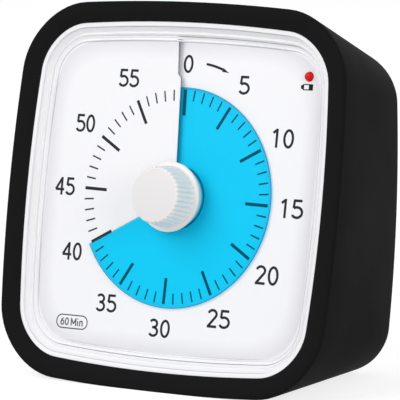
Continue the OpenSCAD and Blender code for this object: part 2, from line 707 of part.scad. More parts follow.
magnet_z = train_top - 2.2;
magnet_h = 1.8;
module rotor() color([0.35, 0.35, 0.38]) stand() translate([rotor_at.x, rotor_at.y, 0]) difference() {
    union() {
        translate([0, 0, magnet_z - magnet_h]) cylinder(d = magnet_d, h = magnet_h);
        gear(leaves, fifth_module, magnet_z - magnet_h + eps, magnet_z - magnet_h - fifth_z + wheel_t + 0.15,
            gap_turn(leaves, bearing(fifth_at, rotor_at)));
    }
    translate([0, 0, fifth_z - 2]) cylinder(d = pin_d + 2 * run_gap, h = train_h + plate_t);
}
module wheel_pins() color([0.8, 0.8, 0.82]) stand()
    for (p = [third_at, fourth_at, fifth_at, rotor_at])
        translate([p.x, p.y, train_bottom - plate_t / 2]) cylinder(d = pin_d, h = train_h + plate_t);

module knob_shaft() color([0.78, 0.78, 0.8]) stand() union() {
    keyed_rod(shaft_d, floor_z + 0.2, shaft_top);
    translate([0, 0, movement_end + 0.3]) cylinder(d = shaft_d, h = floor_z + 0.2 - movement_end - 0.3);
    translate([0, 0, collar_z - collar_t]) cylinder(d = 4.8, h = collar_t);
}
module ring(d_out, d_in, z, t) translate([0, 0, z - t]) difference() {
    cylinder(d = d_out, h = t);
    translate([0, 0, -1]) cylinder(d = d_in, h = t + 2);
}
module friction_spring() color([0.82, 0.7, 0.4]) stand() rotate_extrude() polygon([
    [shaft_d / 2 + run_gap, spring_z - spring_h], [shaft_d / 2 + run_gap, spring_z - spring_h + 0.18],
    [2.3, spring_z], [2.45, spring_z], [2.45, spring_z - 0.16], [shaft_d / 2 + 0.3, spring_z - spring_h]]);
module shaft_clip() color([0.7, 0.7, 0.72]) stand() difference() {
    ring(4.8, shaft_d, clip_z, clip_t);
    translate([-0.6, 0, clip_z - 2]) cube([1.2, 4, 4]);
}

// Space inside the movement's housing
bay_min = [-16, -17.4];
bay_max = [18.6, 15.4];
ear_out = housing_wall + 2;
ear_spots = [[bay_min.x - ear_out, 12], [bay_max.x + ear_out, -12], [bay_min.x - ear_out, -14]];
module at_movement_screws() for (p = ear_spots) translate([p.x, p.y, 0]) children();
module housing_block(grow, z0, z1) translate([bay_min.x - grow, bay_min.y - grow, z0])
    cube([bay_max.x - bay_min.x + 2 * grow, bay_max.y - bay_min.y + 2 * grow, z1 - z0]);
module ears(z, t) at_movement_screws() translate([0, 0, z]) cylinder(d = ear_d, h = t);
module movement_front() color([0.85, 0.85, 0.87]) stand() difference() {
    union() {
        housing_block(housing_wall, train_top, movement_z);
        ears(train_top, plate_t);
    }
    translate([0, 0, train_top - 1]) cylinder(d = shaft_d + 2 * run_gap, h = plate_t + 2);
    at_movement_screws() translate([0, 0, train_top - 1]) cylinder(d = small_screw_d + 0.2, h = plate_t + 2);
    pin_holes();
}
module pin_holes() for (p = [third_at, fourth_at, fifth_at, rotor_at])
    translate([p.x, p.y, train_bottom - plate_t / 2]) cylinder(d = pin_d, h = train_h + plate_t);
module movement_back() color([0.85, 0.85, 0.87]) stand() difference() {
    union() {
        housing_block(housing_wall, movement_end, train_top - fit_gap);
        ears(train_top - fit_gap - ear_t, ear_t);
    }
    housing_block(0, train_bottom, train_top + 1);
    translate([0, 0, movement_end - 1]) cylinder(d = shaft_d + 2 * run_gap, h = plate_t + 2);
    at_movement_screws() translate([0, 0, train_top - 6]) cylinder(d = small_screw_d + 0.2, h = 8);
    pin_holes();
}

// Step motor: a flat stator round the rotor, closed through the coil's core
stator_z = magnet_z - 0.4;
stator_t = 0.8;
coil_x = 15;
coil_low = -2.5;
coil_high = 11;
module stator() color([0.62, 0.62, 0.66]) stand() translate([0, 0, stator_z - stator_t]) linear_extrude(stator_t) difference() {
    union() {
        translate(rotor_at) circle(magnet_d / 2 + 2);
        polygon([[rotor_at.x - 1, rotor_at.y - 4.3], [coil_x + 2, rotor_at.y - 4.3], [coil_x + 2, coil_low - 1.2],
            [rotor_at.x + 3, coil_low - 1.2]]);
        polygon([[rotor_at.x - 4, rotor_at.y + 1], [rotor_at.x - 1, rotor_at.y + 3], [rotor_at.x, coil_high + 1],
            [coil_x + 2, coil_high + 1], [coil_x + 2, coil_high + 4], [rotor_at.x - 3, coil_high + 4]]);
    }
    translate(rotor_at) circle(magnet_d / 2 + 0.4);
}
core_w = 3;
core_t = 0.8;
winding_d = 5;
coil_axis_z = stator_z - stator_t - core_t / 2;
module coil_core() color([0.55, 0.55, 0.6]) stand()
    translate([coil_x - core_w / 2, rotor_at.y - 4, coil_axis_z - core_t / 2]) cube([core_w, coil_high + 7.6 - rotor_at.y, core_t]);
module along_coil(y0, y1) translate([coil_x, y0, coil_axis_z]) rotate([-90, 0, 0])
    linear_extrude(y1 - y0) children();
module coil_bobbin() color([0.2, 0.25, 0.3]) stand() along_coil(coil_low, coil_high) difference() {
    square([4, 1.8], center = true);
    square([3.1, 0.9], center = true);
}
module coil_winding() color([0.72, 0.4, 0.2]) stand() along_coil(coil_low + 0.6, coil_high - 0.6) difference() {
    circle(d = winding_d);
    square([4.1, 1.9], center = true);
}

// ---- Battery -------------------------------------------------------------------

module on_cell() on_back() translate([0, door_y, cell_z]) rotate([0, 90, 0]) children();
module battery_cell() color([0.2, 0.45, 0.7]) stand() on_cell() union() {
    translate([0, 0, cell_shift - cell_l / 2]) cylinder(d = cell_d, h = cell_l);
    translate([0, 0, cell_shift + cell_l / 2 - eps]) cylinder(d = nub_d, h = nub_h + eps);
}
contact_w = 10;
contact_h = 11;
module battery_plate() color([0.85, 0.85, 0.86]) stand() on_cell()
    translate([-contact_w / 2, -contact_h / 2, bay_half_w - contact_t]) cube([contact_w, contact_h, contact_t]);
coil_turns = 3.5;
spring_ring_n = 6;
spring_steps = 56;
spring_wire = 0.35;
spring_base_r = 4.4;
spring_tip_r = 2.6;
function spring_point(t) = let (r = mix(spring_base_r, spring_tip_r, t), a = 360 * coil_turns * t)
    [r * cos(a), r * sin(a), mix(spring_wire, spring_room - 2 * spring_wire, t)];
module battery_spring() color([0.8, 0.8, 0.8]) stand() on_cell() translate([0, 0, -bay_half_w]) union() {
    translate([-contact_w / 2, -contact_h / 2, 0]) cube([contact_w, contact_h, contact_t]);
    translate([0, 0, contact_t - 0.15]) loft([for (i = [0:spring_steps])
        let (t = i / spring_steps, c = spring_point(t), a = 360 * coil_turns * t)
        [for (k = [0:spring_ring_n - 1]) let (b = 360 * k / spring_ring_n)
            c + spring_wire * [cos(b) * cos(a), cos(b) * sin(a), sin(b)]]]);
}

// The door turns out about the lower edge of its outer face, on two tongues that reach
// behind the frame, and a finger at the top holds it shut
tongue_x = 15;
tongue_w = 6;
tongue_reach = 1.2;
finger_w = 8;
finger_h = 3.2;
tongue_t = 1;
tongue_drop = 0.25;
finger_t = 0.9;
finger_in = 1.3;
module door_hooks(grow) {
    for (x = [-tongue_x, tongue_x])
        translate([x - tongue_w / 2 - grow, -door_h / 2 - tongue_reach - grow, -tongue_drop - tongue_t - grow])
            cube([tongue_w + 2 * grow, 2 * tongue_reach + 2 * grow, tongue_t + 2 * grow]);
    for (x = [-tongue_x, tongue_x])
        translate([x - tongue_w / 2, -door_h / 2 + tongue_reach - 0.4, -tongue_drop - tongue_t])
            cube([tongue_w, tongue_t, tongue_drop + tongue_t + 0.1]);
    translate([-finger_w / 2 - grow, door_h / 2 - finger_in - finger_t - grow, -finger_h - grow])
        cube([finger_w + 2 * grow, finger_t + 2 * grow, finger_h + grow + 0.1]);
}
door_corner_r = 1.7;
grip_count = 4;
grip_w = 14;
grip_pitch = 1.2;
module at_door() on_back() translate([0, door_y, door_face - door_t]) children();
module battery_door() color([0.96, 0.96, 0.97]) stand() at_door() union() {
    rounded_plate(door_w, door_h, door_corner_r, door_t);
    door_hooks(0);
    for (i = [0:grip_count - 1]) translate([-grip_w / 2, door_h / 2 - 3 - grip_pitch * i, door_t - 0.1])
        cube([grip_w, grip_pitch / 2, 0.35]);
}

// ---- Electronics ---------------------------------------------------------------

board_low = 16.4;
board_edge_gap = 0.8;
board_spots = [[-9, 19], [9, 19]];
module at_board_screws() for (p = board_spots) translate([p.x, p.y, 0]) children();
board_back = board_z - board_t;
board_inset = inner_inset + board_edge_gap;
module circuit_board() color([0.1, 0.4, 0.25]) stand() difference() {
    intersection() {
        loft([wall_ring(board_back, board_inset), wall_ring(board_z, board_inset)]);
        translate([-face_w / 2, board_low, board_back - 1]) cube([face_w, face_w, board_t + 2]);
    }
    at_bosses() translate([0, 0, board_back - 1]) cylinder(d = boss_d + 10 * fit_gap, h = board_t + 2);
    at_board_screws() translate([0, 0, board_back - 1]) cylinder(d = small_screw_d + 2 * fit_gap, h = board_t + 2);
}
chip_at = [-3.5, 22.5];
chip_size = [7, 4.4, 1.3];
leg_count = 4;
leg_w = 0.6;
leg_t = 0.7;
leg_out = 0.9;
module timer_chip() color([0.1, 0.1, 0.11]) stand() translate([chip_at.x, chip_at.y, board_back - chip_size.z]) union() {
    cube(chip_size);
    for (i = [0:leg_count - 1])
        translate([leg_w + (chip_size.x - 3 * leg_w) / (leg_count - 1) * i, -leg_out, chip_size.z - leg_t])
            cube([leg_w, chip_size.y + 2 * leg_out, leg_t]);
}
crystal_at = [7, 24.5];
crystal_d = 2;
crystal_l = 6;
module crystal() color([0.8, 0.8, 0.83]) stand() translate([crystal_at.x, crystal_at.y, board_back - crystal_d / 2])
    rotate([0, 90, 0]) cylinder(d = crystal_d, h = crystal_l);
// The buzzer sits over the slots
buzzer_hole_d = 2;
module buzzer() color([0.13, 0.13, 0.14]) stand() on_back()
    translate([grille_x, grille_y, back_inner - buzzer_h]) difference() {
        cylinder(d = buzzer_d, h = buzzer_h);
        translate([0, 0, 1]) cylinder(d = buzzer_hole_d, h = buzzer_h);
    }
switch_case = [12, 4.8, 4.9];
slider_stem = [2, 1.8];
slider_cap = [3.6, 2.6, 1.1];
module switch_body() color([0.75, 0.75, 0.77]) stand() on_back()
    translate([switch_x, switch_y, back_inner - switch_case.z]) difference() {
        translate([-switch_case.x / 2, -switch_case.y / 2, 0]) cube(switch_case);
        translate([-switch_case.x / 2 + 1.5, -slider_stem.y / 2 - 0.3, 1])
            cube([switch_case.x - 3, slider_stem.y + 0.6, switch_case.z]);
    }
module sound_switch() color([0.2, 0.2, 0.21]) stand() on_back()
    translate([switch_x - switch_travel / 2, switch_y, 0]) union() {
        translate([-slider_stem.x / 2, -slider_stem.y / 2, back_inner - 3.2]) cube([slider_stem.x, slider_stem.y, 3.2 - back_inner]);
        translate([-slider_cap.x / 2, -slider_cap.y / 2, -0.3]) cube(slider_cap);
    }
light_base_d = 2.7;
light_dome_z = -1.75;
module indicator_light() color([0.85, 0.1, 0.08]) stand() translate([light_x, light_y, 0]) union() {
    rotate_extrude() polygon([[0, floor_back - 1], [light_base_d / 2, floor_back - 1], [light_base_d / 2, floor_z - 0.2],
        [light_d / 2, floor_z - 0.2], [light_d / 2, light_dome_z], [light_d / 2 * 0.85, light_dome_z + 0.4],
        [light_d / 2 * 0.45, light_dome_z + 0.65], [0, light_dome_z + 0.7]]);
    for (x = [-0.5, 0.5]) translate([x - 0.2, -0.2, board_z]) cube([0.4, 0.4, floor_back - 1 - board_z + 0.1]);
}

// ---- Screws --------------------------------------------------------------------

module screw(d, head_d, head_h, l) difference() {
    union() {
        translate([0, 0, -head_h / 2]) cylinder(d = d, h = l + head_h / 2);
        translate([0, 0, -head_h]) cylinder(d = head_d, h = head_h);
    }
    for (a = [0, 90]) rotate([0, 0, a]) translate([-head_d * 0.3, -d * 0.12, -head_h - 1]) cube([head_d * 0.6, d * 0.24, 1.6]);
}
module case_screws() color([0.6, 0.6, 0.62]) stand() at_bosses() translate([0, 0, screw_head_z])
    screw(case_screw_d, case_head_d, case_head_h, boss_split - screw_head_z + case_screw_bite);
module movement_screws() color([0.6, 0.6, 0.62]) stand() at_movement_screws() translate([0, 0, train_top - fit_gap - ear_t])
    screw(small_screw_d, small_head_d, small_head_h, ear_t + fit_gap + plate_t + small_screw_bite);
module board_screws() color([0.6, 0.6, 0.62]) stand() at_board_screws() translate([0, 0, board_z - board_t])
    screw(small_screw_d, small_head_d, small_head_h, board_t + board_post);

silicone_cover();
front_case();
rear_case();
dial_plate();
timer_disc();
disc_hub();
setting_knob();
knob_shaft();
friction_spring();
shaft_clip();
indicator_light();
movement_front();
movement_back();
centre_wheel();
third_wheel();
fourth_wheel();
fifth_wheel();
rotor();
wheel_pins();
stator();
coil_core();
coil_bobbin();
coil_winding();
battery_door();
battery_cell();
battery_spring();
battery_plate();
circuit_board();
timer_chip();
crystal();
buzzer();
switch_body();
sound_switch();
case_screws();
movement_screws();
board_screws();
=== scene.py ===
# %% [markdown]
# # A visual countdown timer in Blender
# This is a square desk timer in a black silicone sleeve. A blue film turns with the knob
# and slips through a slit in the dial, so the blue that still shows is the time that is
# left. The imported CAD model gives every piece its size, its place and the body that it
# moves with. This notebook dresses it: it draws what shows in finer detail, gives every
# piece its finish, and lights it softly.

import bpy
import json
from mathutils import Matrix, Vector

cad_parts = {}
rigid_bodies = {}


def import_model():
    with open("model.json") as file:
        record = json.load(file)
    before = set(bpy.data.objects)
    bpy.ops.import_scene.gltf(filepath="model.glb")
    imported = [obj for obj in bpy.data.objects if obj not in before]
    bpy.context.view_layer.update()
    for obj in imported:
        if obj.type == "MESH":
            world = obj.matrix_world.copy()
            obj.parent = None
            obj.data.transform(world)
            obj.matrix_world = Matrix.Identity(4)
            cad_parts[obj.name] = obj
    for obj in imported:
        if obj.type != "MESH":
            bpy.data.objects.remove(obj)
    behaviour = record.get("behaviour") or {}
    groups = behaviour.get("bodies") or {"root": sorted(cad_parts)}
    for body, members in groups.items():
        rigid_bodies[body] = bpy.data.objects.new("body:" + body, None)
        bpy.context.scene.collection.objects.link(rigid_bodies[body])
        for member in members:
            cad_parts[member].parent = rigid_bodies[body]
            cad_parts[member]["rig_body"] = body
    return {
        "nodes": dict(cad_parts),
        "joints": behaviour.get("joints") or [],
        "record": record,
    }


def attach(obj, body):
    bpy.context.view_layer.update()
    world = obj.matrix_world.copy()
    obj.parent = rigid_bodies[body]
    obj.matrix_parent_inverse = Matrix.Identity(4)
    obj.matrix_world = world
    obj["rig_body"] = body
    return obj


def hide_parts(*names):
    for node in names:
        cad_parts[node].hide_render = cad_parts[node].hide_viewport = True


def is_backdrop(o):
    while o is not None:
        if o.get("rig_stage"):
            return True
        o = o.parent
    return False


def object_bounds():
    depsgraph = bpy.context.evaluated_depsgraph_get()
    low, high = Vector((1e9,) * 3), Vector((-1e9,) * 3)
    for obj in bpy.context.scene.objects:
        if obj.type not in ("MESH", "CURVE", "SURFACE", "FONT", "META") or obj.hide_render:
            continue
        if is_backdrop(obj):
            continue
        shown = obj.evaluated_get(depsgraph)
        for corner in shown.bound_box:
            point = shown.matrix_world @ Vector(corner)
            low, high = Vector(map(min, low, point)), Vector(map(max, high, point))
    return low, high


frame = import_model()
cad_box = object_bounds()

# %% [markdown]
# ## One place to draw in
# The face of the timer leans back, so drawing on it in the room's axes would be awkward.
# The knob's own joint says where the middle of the face is and which way it looks, and
# from it comes one matrix that stands a drawing in millimetres (x right, y up the face,
# z out of the dial) on the real face in metres. Every new piece is drawn flat and then
# set in place with this matrix, so its object stays at the origin.

# %% The face's own axes
from math import atan2, cos, hypot, pi, radians, sin, tan

import bmesh
import bpy
from mathutils import Matrix, Vector

MM = 0.001
knob_joint = next(joint for joint in frame["joints"] if joint["name"] == "knob_turn")
out = Vector(knob_joint["axis"]).normalized()
right = Vector((1, 0, 0))
up = out.cross(right)
FACE = (Matrix.Translation(knob_joint["pos_m"])
        @ Matrix((right, up, out)).transposed().to_4x4() @ Matrix.Scale(MM, 4))
print("face middle at", [round(c, 4) for c in FACE.translation])

# %% [markdown]
# ## The camera
# The camera stands to the right of the timer, a little above it and 67 cm away, so that
# the face and the right side both show. From that distance a long lens fills the picture
# with the timer, and its edges stay nearly parallel. The camera is turned about the
# upright axis, dipped towards the timer and rolled by less than half a degree.

# %% The camera
CAMERA_PLACE = Vector((356.972, -559.635, 121.654)) * MM
CAMERA_TURN, CAMERA_DIP, CAMERA_ROLL = 32.6914, 7.3438, -0.4258  # in degrees
LENS, SENSOR, NEAREST = 295.209, 36, 0.05
camera = bpy.data.objects.new("camera", bpy.data.cameras.new("camera"))
bpy.context.scene.collection.objects.link(camera)
bpy.context.scene.camera = camera
camera.data.lens, camera.data.sensor_width, camera.data.clip_start = LENS, SENSOR, NEAREST
camera.location = CAMERA_PLACE
camera.rotation_euler = (Matrix.Rotation(radians(CAMERA_TURN), 3, "Z")
                         @ Matrix.Rotation(radians(90 - CAMERA_DIP), 3, "X")
                         @ Matrix.Rotation(radians(CAMERA_ROLL), 3, "Z")).to_euler()
print("camera at", [round(c, 3) for c in camera.location])

# %% [markdown]
# ## A tool box for nodes
# A material in Blender is a small network of nodes. Placing and wiring one node takes
# several lines, so this tool box has a short call for each kind that the timer needs.
# A call that mixes or reckons returns the socket that the next one takes, and the floor
# and the sky use the same box later on.

# %% The node tool box
class NodeBox:
    """Short calls that add nodes to a tree and wire them."""

    def __init__(self, tree):
        self.nodes, self.links = tree.nodes, tree.links

    def add(self, kind, **settings):
        """A new node of a kind, such as Math or Mapping."""
        node = self.nodes.new("ShaderNode" + kind)
        for name, value in settings.items():
            setattr(node, name, value)
        return node

    def feed(self, socket, value):
        """Set a socket to a plain value, or wire another socket to it."""
        if isinstance(value, (int, float, tuple)):
            socket.default_value = value
        else:
            self.links.new(value, socket)

    def mix(self, share, first, second):
        """The first colour where the share is 0, the second where it is 1."""
        node = self.add("Mix", data_type="RGBA")
        for name, value in (("Factor", share), ("A", first), ("B", second)):
            self.feed(node.inputs[name], value)
        return node.outputs["Result"]

    def spread(self, value, low, high, from_low=0.3, from_high=0.7):
        """Stretch a range of values to another range; a noise lies mostly in 0.3 to 0.7."""
        node = self.add("MapRange")
        for name, number in (("Value", value), ("From Min", from_low), ("From Max", from_high),
                             ("To Min", low), ("To Max", high)):
            self.feed(node.inputs[name], number)
        return node.outputs["Result"]

    def maths(self, operation, first, second=0.0):
        """One step of arithmetic on one or two values."""
        node = self.add("Math", operation=operation)
        for socket, value in zip(node.inputs, (first, second)):
            self.feed(socket, value)
        return node.outputs["Value"]


print("the tool box is ready")

# %% [markdown]
# ## A finish with drift and grain
# Moulded plastic is never one flat colour: its gloss drifts a little over the surface and
# a fine grain from the mould catches the light. Each finish below is a Principled shader
# with two noises on Object coordinates: a wide one drifts the tone and the gloss, and a
# fine one gives the grain as bump. Object coordinates are metres here, so a noise scale
# of 2000 is a grain of half a millimetre. A number that is the same all over goes
# straight onto the shader's own socket, where other programs can read it too.

# %% A finish
GLOSS_DRIFT = 0.06


def tone(red, green, blue):
    """A colour from the screen's 0-255 values to the linear values that shaders take."""
    return tuple((c / 255 / 12.92 if c <= 10 else ((c / 255 + 0.055) / 1.055) ** 2.4)
                 for c in (red, green, blue)) + (1,)


class Finish(NodeBox):
    """A shader whose tone and gloss drift, with a fine grain."""

    def __init__(self, name, colour, roughness, metallic=0.0, drift=0.06, drift_scale=60,
                 grain_scale=2500, grain=0.2, grain_depth=0.00002, **sockets):
        self.name, self.material = name, bpy.data.materials.new(name)
        self.material.use_nodes = True
        super().__init__(self.material.node_tree)
        self.shader = self.nodes["Principled BSDF"]
        for socket, value in dict(sockets, Metallic=metallic).items():
            self.shader.inputs[socket.replace("_", " ")].default_value = value
        self.where = self.add("TexCoord").outputs["Object"]
        wide = self.noise(drift_scale, 3)
        darker = tuple(c * (1 - drift) for c in colour[:3]) + (1,)
        self.repaint(self.mix(wide, darker, colour))
        self.feed(self.shader.inputs["Roughness"],
                  self.spread(wide, roughness - GLOSS_DRIFT, roughness + GLOSS_DRIFT))
        self.bump(self.noise(grain_scale, 4), grain, grain_depth)

    def noise(self, scale, detail):
        node = self.add("TexNoise")
        for name, value in (("Vector", self.where), ("Scale", scale), ("Detail", detail)):
            self.feed(node.inputs[name], value)
        return node.outputs["Fac"]

    def bump(self, height, strength, depth):
        """Raise the surface by a pattern, on top of any bump that is there already."""
        node = self.add("Bump")
        for name, value in (("Strength", strength), ("Distance", depth), ("Height", height)):
            self.feed(node.inputs[name], value)
        for before in self.shader.inputs["Normal"].links[:1]:
            self.feed(node.inputs["Normal"], before.from_socket)
        self.feed(self.shader.inputs["Normal"], node.outputs["Normal"])

    def repaint(self, colour):
        """Take another colour pattern as the finish's colour."""
        self.colour = colour
        self.feed(self.shader.inputs["Base Color"], colour)


print("a finish drifts by", GLOSS_DRIFT, "in roughness")

# %% [markdown]
# ## Silicone
# The sleeve is matt silicone: very dark, almost without gloss, and with a trace of the
# dust that silicone always carries. The dust is a fine noise of which only the highest
# peaks are kept, mixed in as a faint grey. A darker base with a little dust looks more
# like silicone than one even dark grey does.

# %% Silicone
MOST_DUST, DUST_START, DUST_FULL = 0.06, 0.66, 0.8
silicone = Finish("silicone", tone(27, 27, 28), 0.66, drift=0.14, drift_scale=45,
                  grain_scale=3500, grain=0.35, grain_depth=0.00003, Specular_IOR_Level=0.02)
dust = silicone.spread(silicone.noise(9000, 2), 0, MOST_DUST, DUST_START, DUST_FULL)
silicone.repaint(silicone.mix(dust, silicone.colour, tone(110, 108, 106)))
print("silicone has", len(silicone.nodes), "nodes")

# %% [markdown]
# ## White plastic
# The case is white ABS with a satin gloss. The knob is white too, a touch warmer and less
# glossy. Its flat front is painted a shade greyer than its ribbed side, as painted shade for
# the lesser light on it, in a finish of its own in a second material slot of the same piece.

# %% White plastic
case_white = Finish("case_white", tone(250, 249, 251), 0.36, drift=0.015, grain=0.12)
knob_white = Finish("knob_white", tone(250, 246, 243), 0.46, drift=0.02, grain=0.12)
# painted shade: the knob's flat front is a greyer copy of the knob's white
knob_face_shaded = Finish("knob_face_shaded", tone(237, 235, 235), 0.55, drift=0.02, grain=0.2)
print("white plastics:", case_white.name, knob_white.name, knob_face_shaded.name)

# %% [markdown]
# ## The dial's white and its painted edge shade
# The dial is matt white, and along its border it is painted a little darker: painted shade
# for the light that the rim keeps off it. Broad soft lamps leave this shade too faint, so
# the finish carries it. A Mapping node turns Object coordinates into the face's own
# millimetres. Each of them is divided by half the dial's size and raised to a high power,
# so their sum is next to nothing in the middle and climbs only near the edge of a rounded
# square. Past that edge the painted shade ends again, and the raised border stays white.

# %% The dial's white
SHADE_HALF_W, SHADE_HALF_H, SHADE_POWER = 31.6, 31.2, 6.4
SHADE_START, SHADE_FULL, FADE_START, FADE_END = 0.45, 1.0, 0.98, 1.08
dial_white = Finish("dial_white", tone(250, 250, 253), 0.5, drift=0.012, grain=0.16)
room_to_face = FACE.inverted()
to_face, face_axes = dial_white.add("Mapping"), dial_white.add("SeparateXYZ")
to_face.inputs["Location"].default_value = room_to_face.translation
to_face.inputs["Rotation"].default_value = room_to_face.to_euler()
to_face.inputs["Scale"].default_value = room_to_face.to_scale()
dial_white.feed(to_face.inputs["Vector"], dial_white.where)
dial_white.feed(face_axes.inputs["Vector"], to_face.outputs["Vector"])


def nearness(axis, half):
    """Next to 0 over most of the dial and 1 at half its size, along one axis."""
    share = dial_white.maths("DIVIDE", face_axes.outputs[axis], half)
    return dial_white.maths("POWER", dial_white.maths("ABSOLUTE", share), SHADE_POWER)


edge = dial_white.maths("ADD", nearness("X", SHADE_HALF_W), nearness("Y", SHADE_HALF_H))
shade = dial_white.maths("MULTIPLY", dial_white.spread(edge, 0, 1, SHADE_START, SHADE_FULL),
                         dial_white.spread(edge, 1, 0, FADE_START, FADE_END))
# painted shade: a greyer tone is mixed into the dial's white near its border
dial_white.repaint(dial_white.mix(shade, dial_white.colour, tone(229, 228, 233)))
print("the dial's white has", len(dial_white.nodes), "nodes")

# %% [markdown]
# ## Printing inks
# Numbers, ticks and signs are printed in thin, dry layers of ink. It has almost no gloss
# of its own, so it keeps its tone from every side. The scale is dark grey, the battery
# sign nearly black, and the small frame in the corner a lighter grey.

# %% Inks
def printing_ink(name, colour, drift=0.1):
    return Finish(name, colour, 0.55, drift=drift, drift_scale=300, grain=0.05,
                  Specular_IOR_Level=0.12)


ink = printing_ink("ink", tone(41, 41, 45))
black_ink = printing_ink("black_ink", tone(12, 12, 14))
grey_ink = printing_ink("grey_ink", tone(80, 80, 86), drift=0.08)
print("inks:", ink.name, black_ink.name, grey_ink.name)

# %% [markdown]
# ## The blue film
# The film is a clear plastic sheet dyed blue. Light goes through it, meets the white dial
# and comes back, so the dial's marks show through, darkened. A Transparent shader tints
# what is behind, and a share of plain blue under a glossy skin gives the sheet its body.
# Light crosses both faces of the sheet, so the tint is the square root of the dye's. At
# the cut edge the light runs a long way through the sheet and makes a deep blue line. That
# line is painted: a second finish in deep blue on the cut faces and a narrow band of the top.

# %% The blue film
FILM_TINT, FILM_BODY = (0.31, 0.925, 1.0, 1), 0.07
film_blue = Finish("film_blue", tone(24, 196, 255), 0.3, drift=0.02, grain=0.05)
# painted edge line: the deep blue that the film's cut edge shows in the light
film_edge_painted = Finish("film_edge_painted", tone(30, 112, 178), 0.4, drift=0.05, grain=0.05)
clear, sheet = film_blue.add("BsdfTransparent"), film_blue.add("MixShader")
clear.inputs["Color"].default_value = FILM_TINT
for socket, source in zip(sheet.inputs, (FILM_BODY, clear.outputs[0], film_blue.shader.outputs[0])):
    film_blue.feed(socket, source)
film_blue.feed(film_blue.nodes["Material Output"].inputs["Surface"], sheet.outputs[0])
print("film tint", FILM_TINT[:3])

# %% [markdown]
# ## Plastics behind the dial
# The hub, the movement's housing, the wheels, the coil's bobbin, the chip and the switch
# are moulded plastics that hardly show. They keep the usual drift and grain and differ in
# tone only: the wheels are natural acetal, which is a little yellow and more uneven.

# %% Plastics behind the dial
hub_plastic = Finish("hub_plastic", tone(222, 222, 226), 0.4)
movement_plastic = Finish("movement_plastic", tone(212, 212, 216), 0.42)
gear_plastic = Finish("gear_plastic", tone(238, 232, 214), 0.35, drift=0.05)
bobbin_plastic = Finish("bobbin_plastic", tone(48, 58, 70), 0.45)
black_plastic = Finish("black_plastic", tone(26, 26, 28), 0.45)
slider_plastic = Finish("slider_plastic", tone(38, 38, 40), 0.42)
print(len(bpy.data.materials), "materials so far")

# %% [markdown]
# ## Metals, the cell, the board and the light
# Drawn steel has finer grain than plastic, and sprung bronze, iron and nickel differ in
# tone and polish. The coil's copper gets a wave pattern as bump, one wave for each turn
# of wire. The light is a tinted lens: glossy, with a little glow of its own.

# %% Metals, the cell, the board and the light
TURNS_SCALE, TURNS_BUMP, TURNS_DEPTH = 1400, 0.6, 0.0001
steel = Finish("steel", tone(190, 191, 196), 0.32, metallic=1.0, grain_scale=5000)
spring_metal = Finish("spring_metal", tone(208, 178, 108), 0.3, metallic=1.0)
magnet = Finish("magnet", tone(88, 88, 94), 0.5, metallic=0.8, drift=0.15)
core_iron = Finish("core_iron", tone(150, 150, 158), 0.38, metallic=1.0)
nickel = Finish("nickel", tone(208, 208, 212), 0.18, metallic=1.0, grain=0.08)
board_green = Finish("board_green", tone(26, 104, 62), 0.35, drift=0.2, drift_scale=900)
cell_can = Finish("cell_can", tone(52, 102, 150), 0.28, metallic=0.6, grain=0.06)
lamp_red = Finish("lamp_red", tone(206, 8, 6), 0.2, drift=0.1, drift_scale=1500, grain=0.04,
                  Specular_IOR_Level=0.2, Emission_Color=tone(255, 0, 0),
                  Emission_Strength=0.1)
copper = Finish("copper", tone(196, 112, 62), 0.25, metallic=1.0)
turns = copper.add("TexWave", bands_direction="Z")
copper.feed(turns.inputs["Scale"], TURNS_SCALE)
copper.feed(turns.inputs["Vector"], copper.where)
copper.bump(turns.outputs["Fac"], TURNS_BUMP, TURNS_DEPTH)
print(len(bpy.data.materials), "materials in all")

# %% [markdown]
# ## Every CAD node gets its finish
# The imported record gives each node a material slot, and the finishes above are named for
# those slots. So one loop can dress all the nodes, also those that stay hidden until the
# battery door opens. Only material slots are touched: a node's mesh and place stay.

# %% Every CAD node's finish
FINISHES = {finish.name: finish for finish in (
    silicone, case_white, dial_white, film_blue, knob_white, hub_plastic, gear_plastic,
    movement_plastic, steel, spring_metal, magnet, core_iron, copper, bobbin_plastic, nickel,
    cell_can, board_green, black_plastic, slider_plastic, lamp_red)}
slot_of = {part["node"]: part["material_slot"] for part in frame["record"]["subparts"]}
for name, node in frame["nodes"].items():
    node.data.materials.clear()
    node.data.materials.append(FINISHES[slot_of[name]].material)
print(len(slot_of), "nodes have their finish")

# %% [markdown]
# ## From a drawing to a piece
# Every new mesh ends in the same helpers. The first shades it smooth up to a chosen
# angle, gives it a finish and lets it ride on its body. For a bmesh drawing the other two
# come before it: they set the drawing in place and write it to a mesh. Keeping this in
# one spot means that no piece can forget its body or its slot.

# %% Helpers that finish a piece
def settle(name, mesh, finish, body, sharp):
    """Turn a mesh into a piece that rides on a body."""
    mesh.shade_smooth()
    mesh.set_sharp_from_angle(angle=radians(sharp))
    piece = bpy.data.objects.new(name, mesh)
    bpy.context.scene.collection.objects.link(piece)
    mesh.materials.append(finish.material)
    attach(piece, body)
    return piece


def to_mesh(name, bm):
    """Write a drawing to a mesh of its own."""
    mesh = bpy.data.meshes.new(name)
    bm.to_mesh(mesh)
    bm.free()
    return mesh


def place(name, bm, finish, body="case", sharp=35, where=FACE):
    """Set a drawing in place and make it a piece."""
    bm.transform(where)
    piece = settle(name, to_mesh(name, bm), finish, body, sharp)
    print(name, len(piece.data.polygons), "faces")
    return piece


print("pieces ride as soon as they are made")

# %% [markdown]
# ## Smooth copies of CAD nodes
# Behind and inside, the CAD shapes are right as they are, but a node's mesh is loose
# triangles and can't be shaded smooth. A copy is merged, its flat areas are dissolved
# into single faces, and it is shaded smooth up to an angle. A Weighted Normal modifier
# then lets the large flat faces lead, so that the small rounds beside them don't throw
# streaks across them. The copy stands for the node, which stays for collision only.

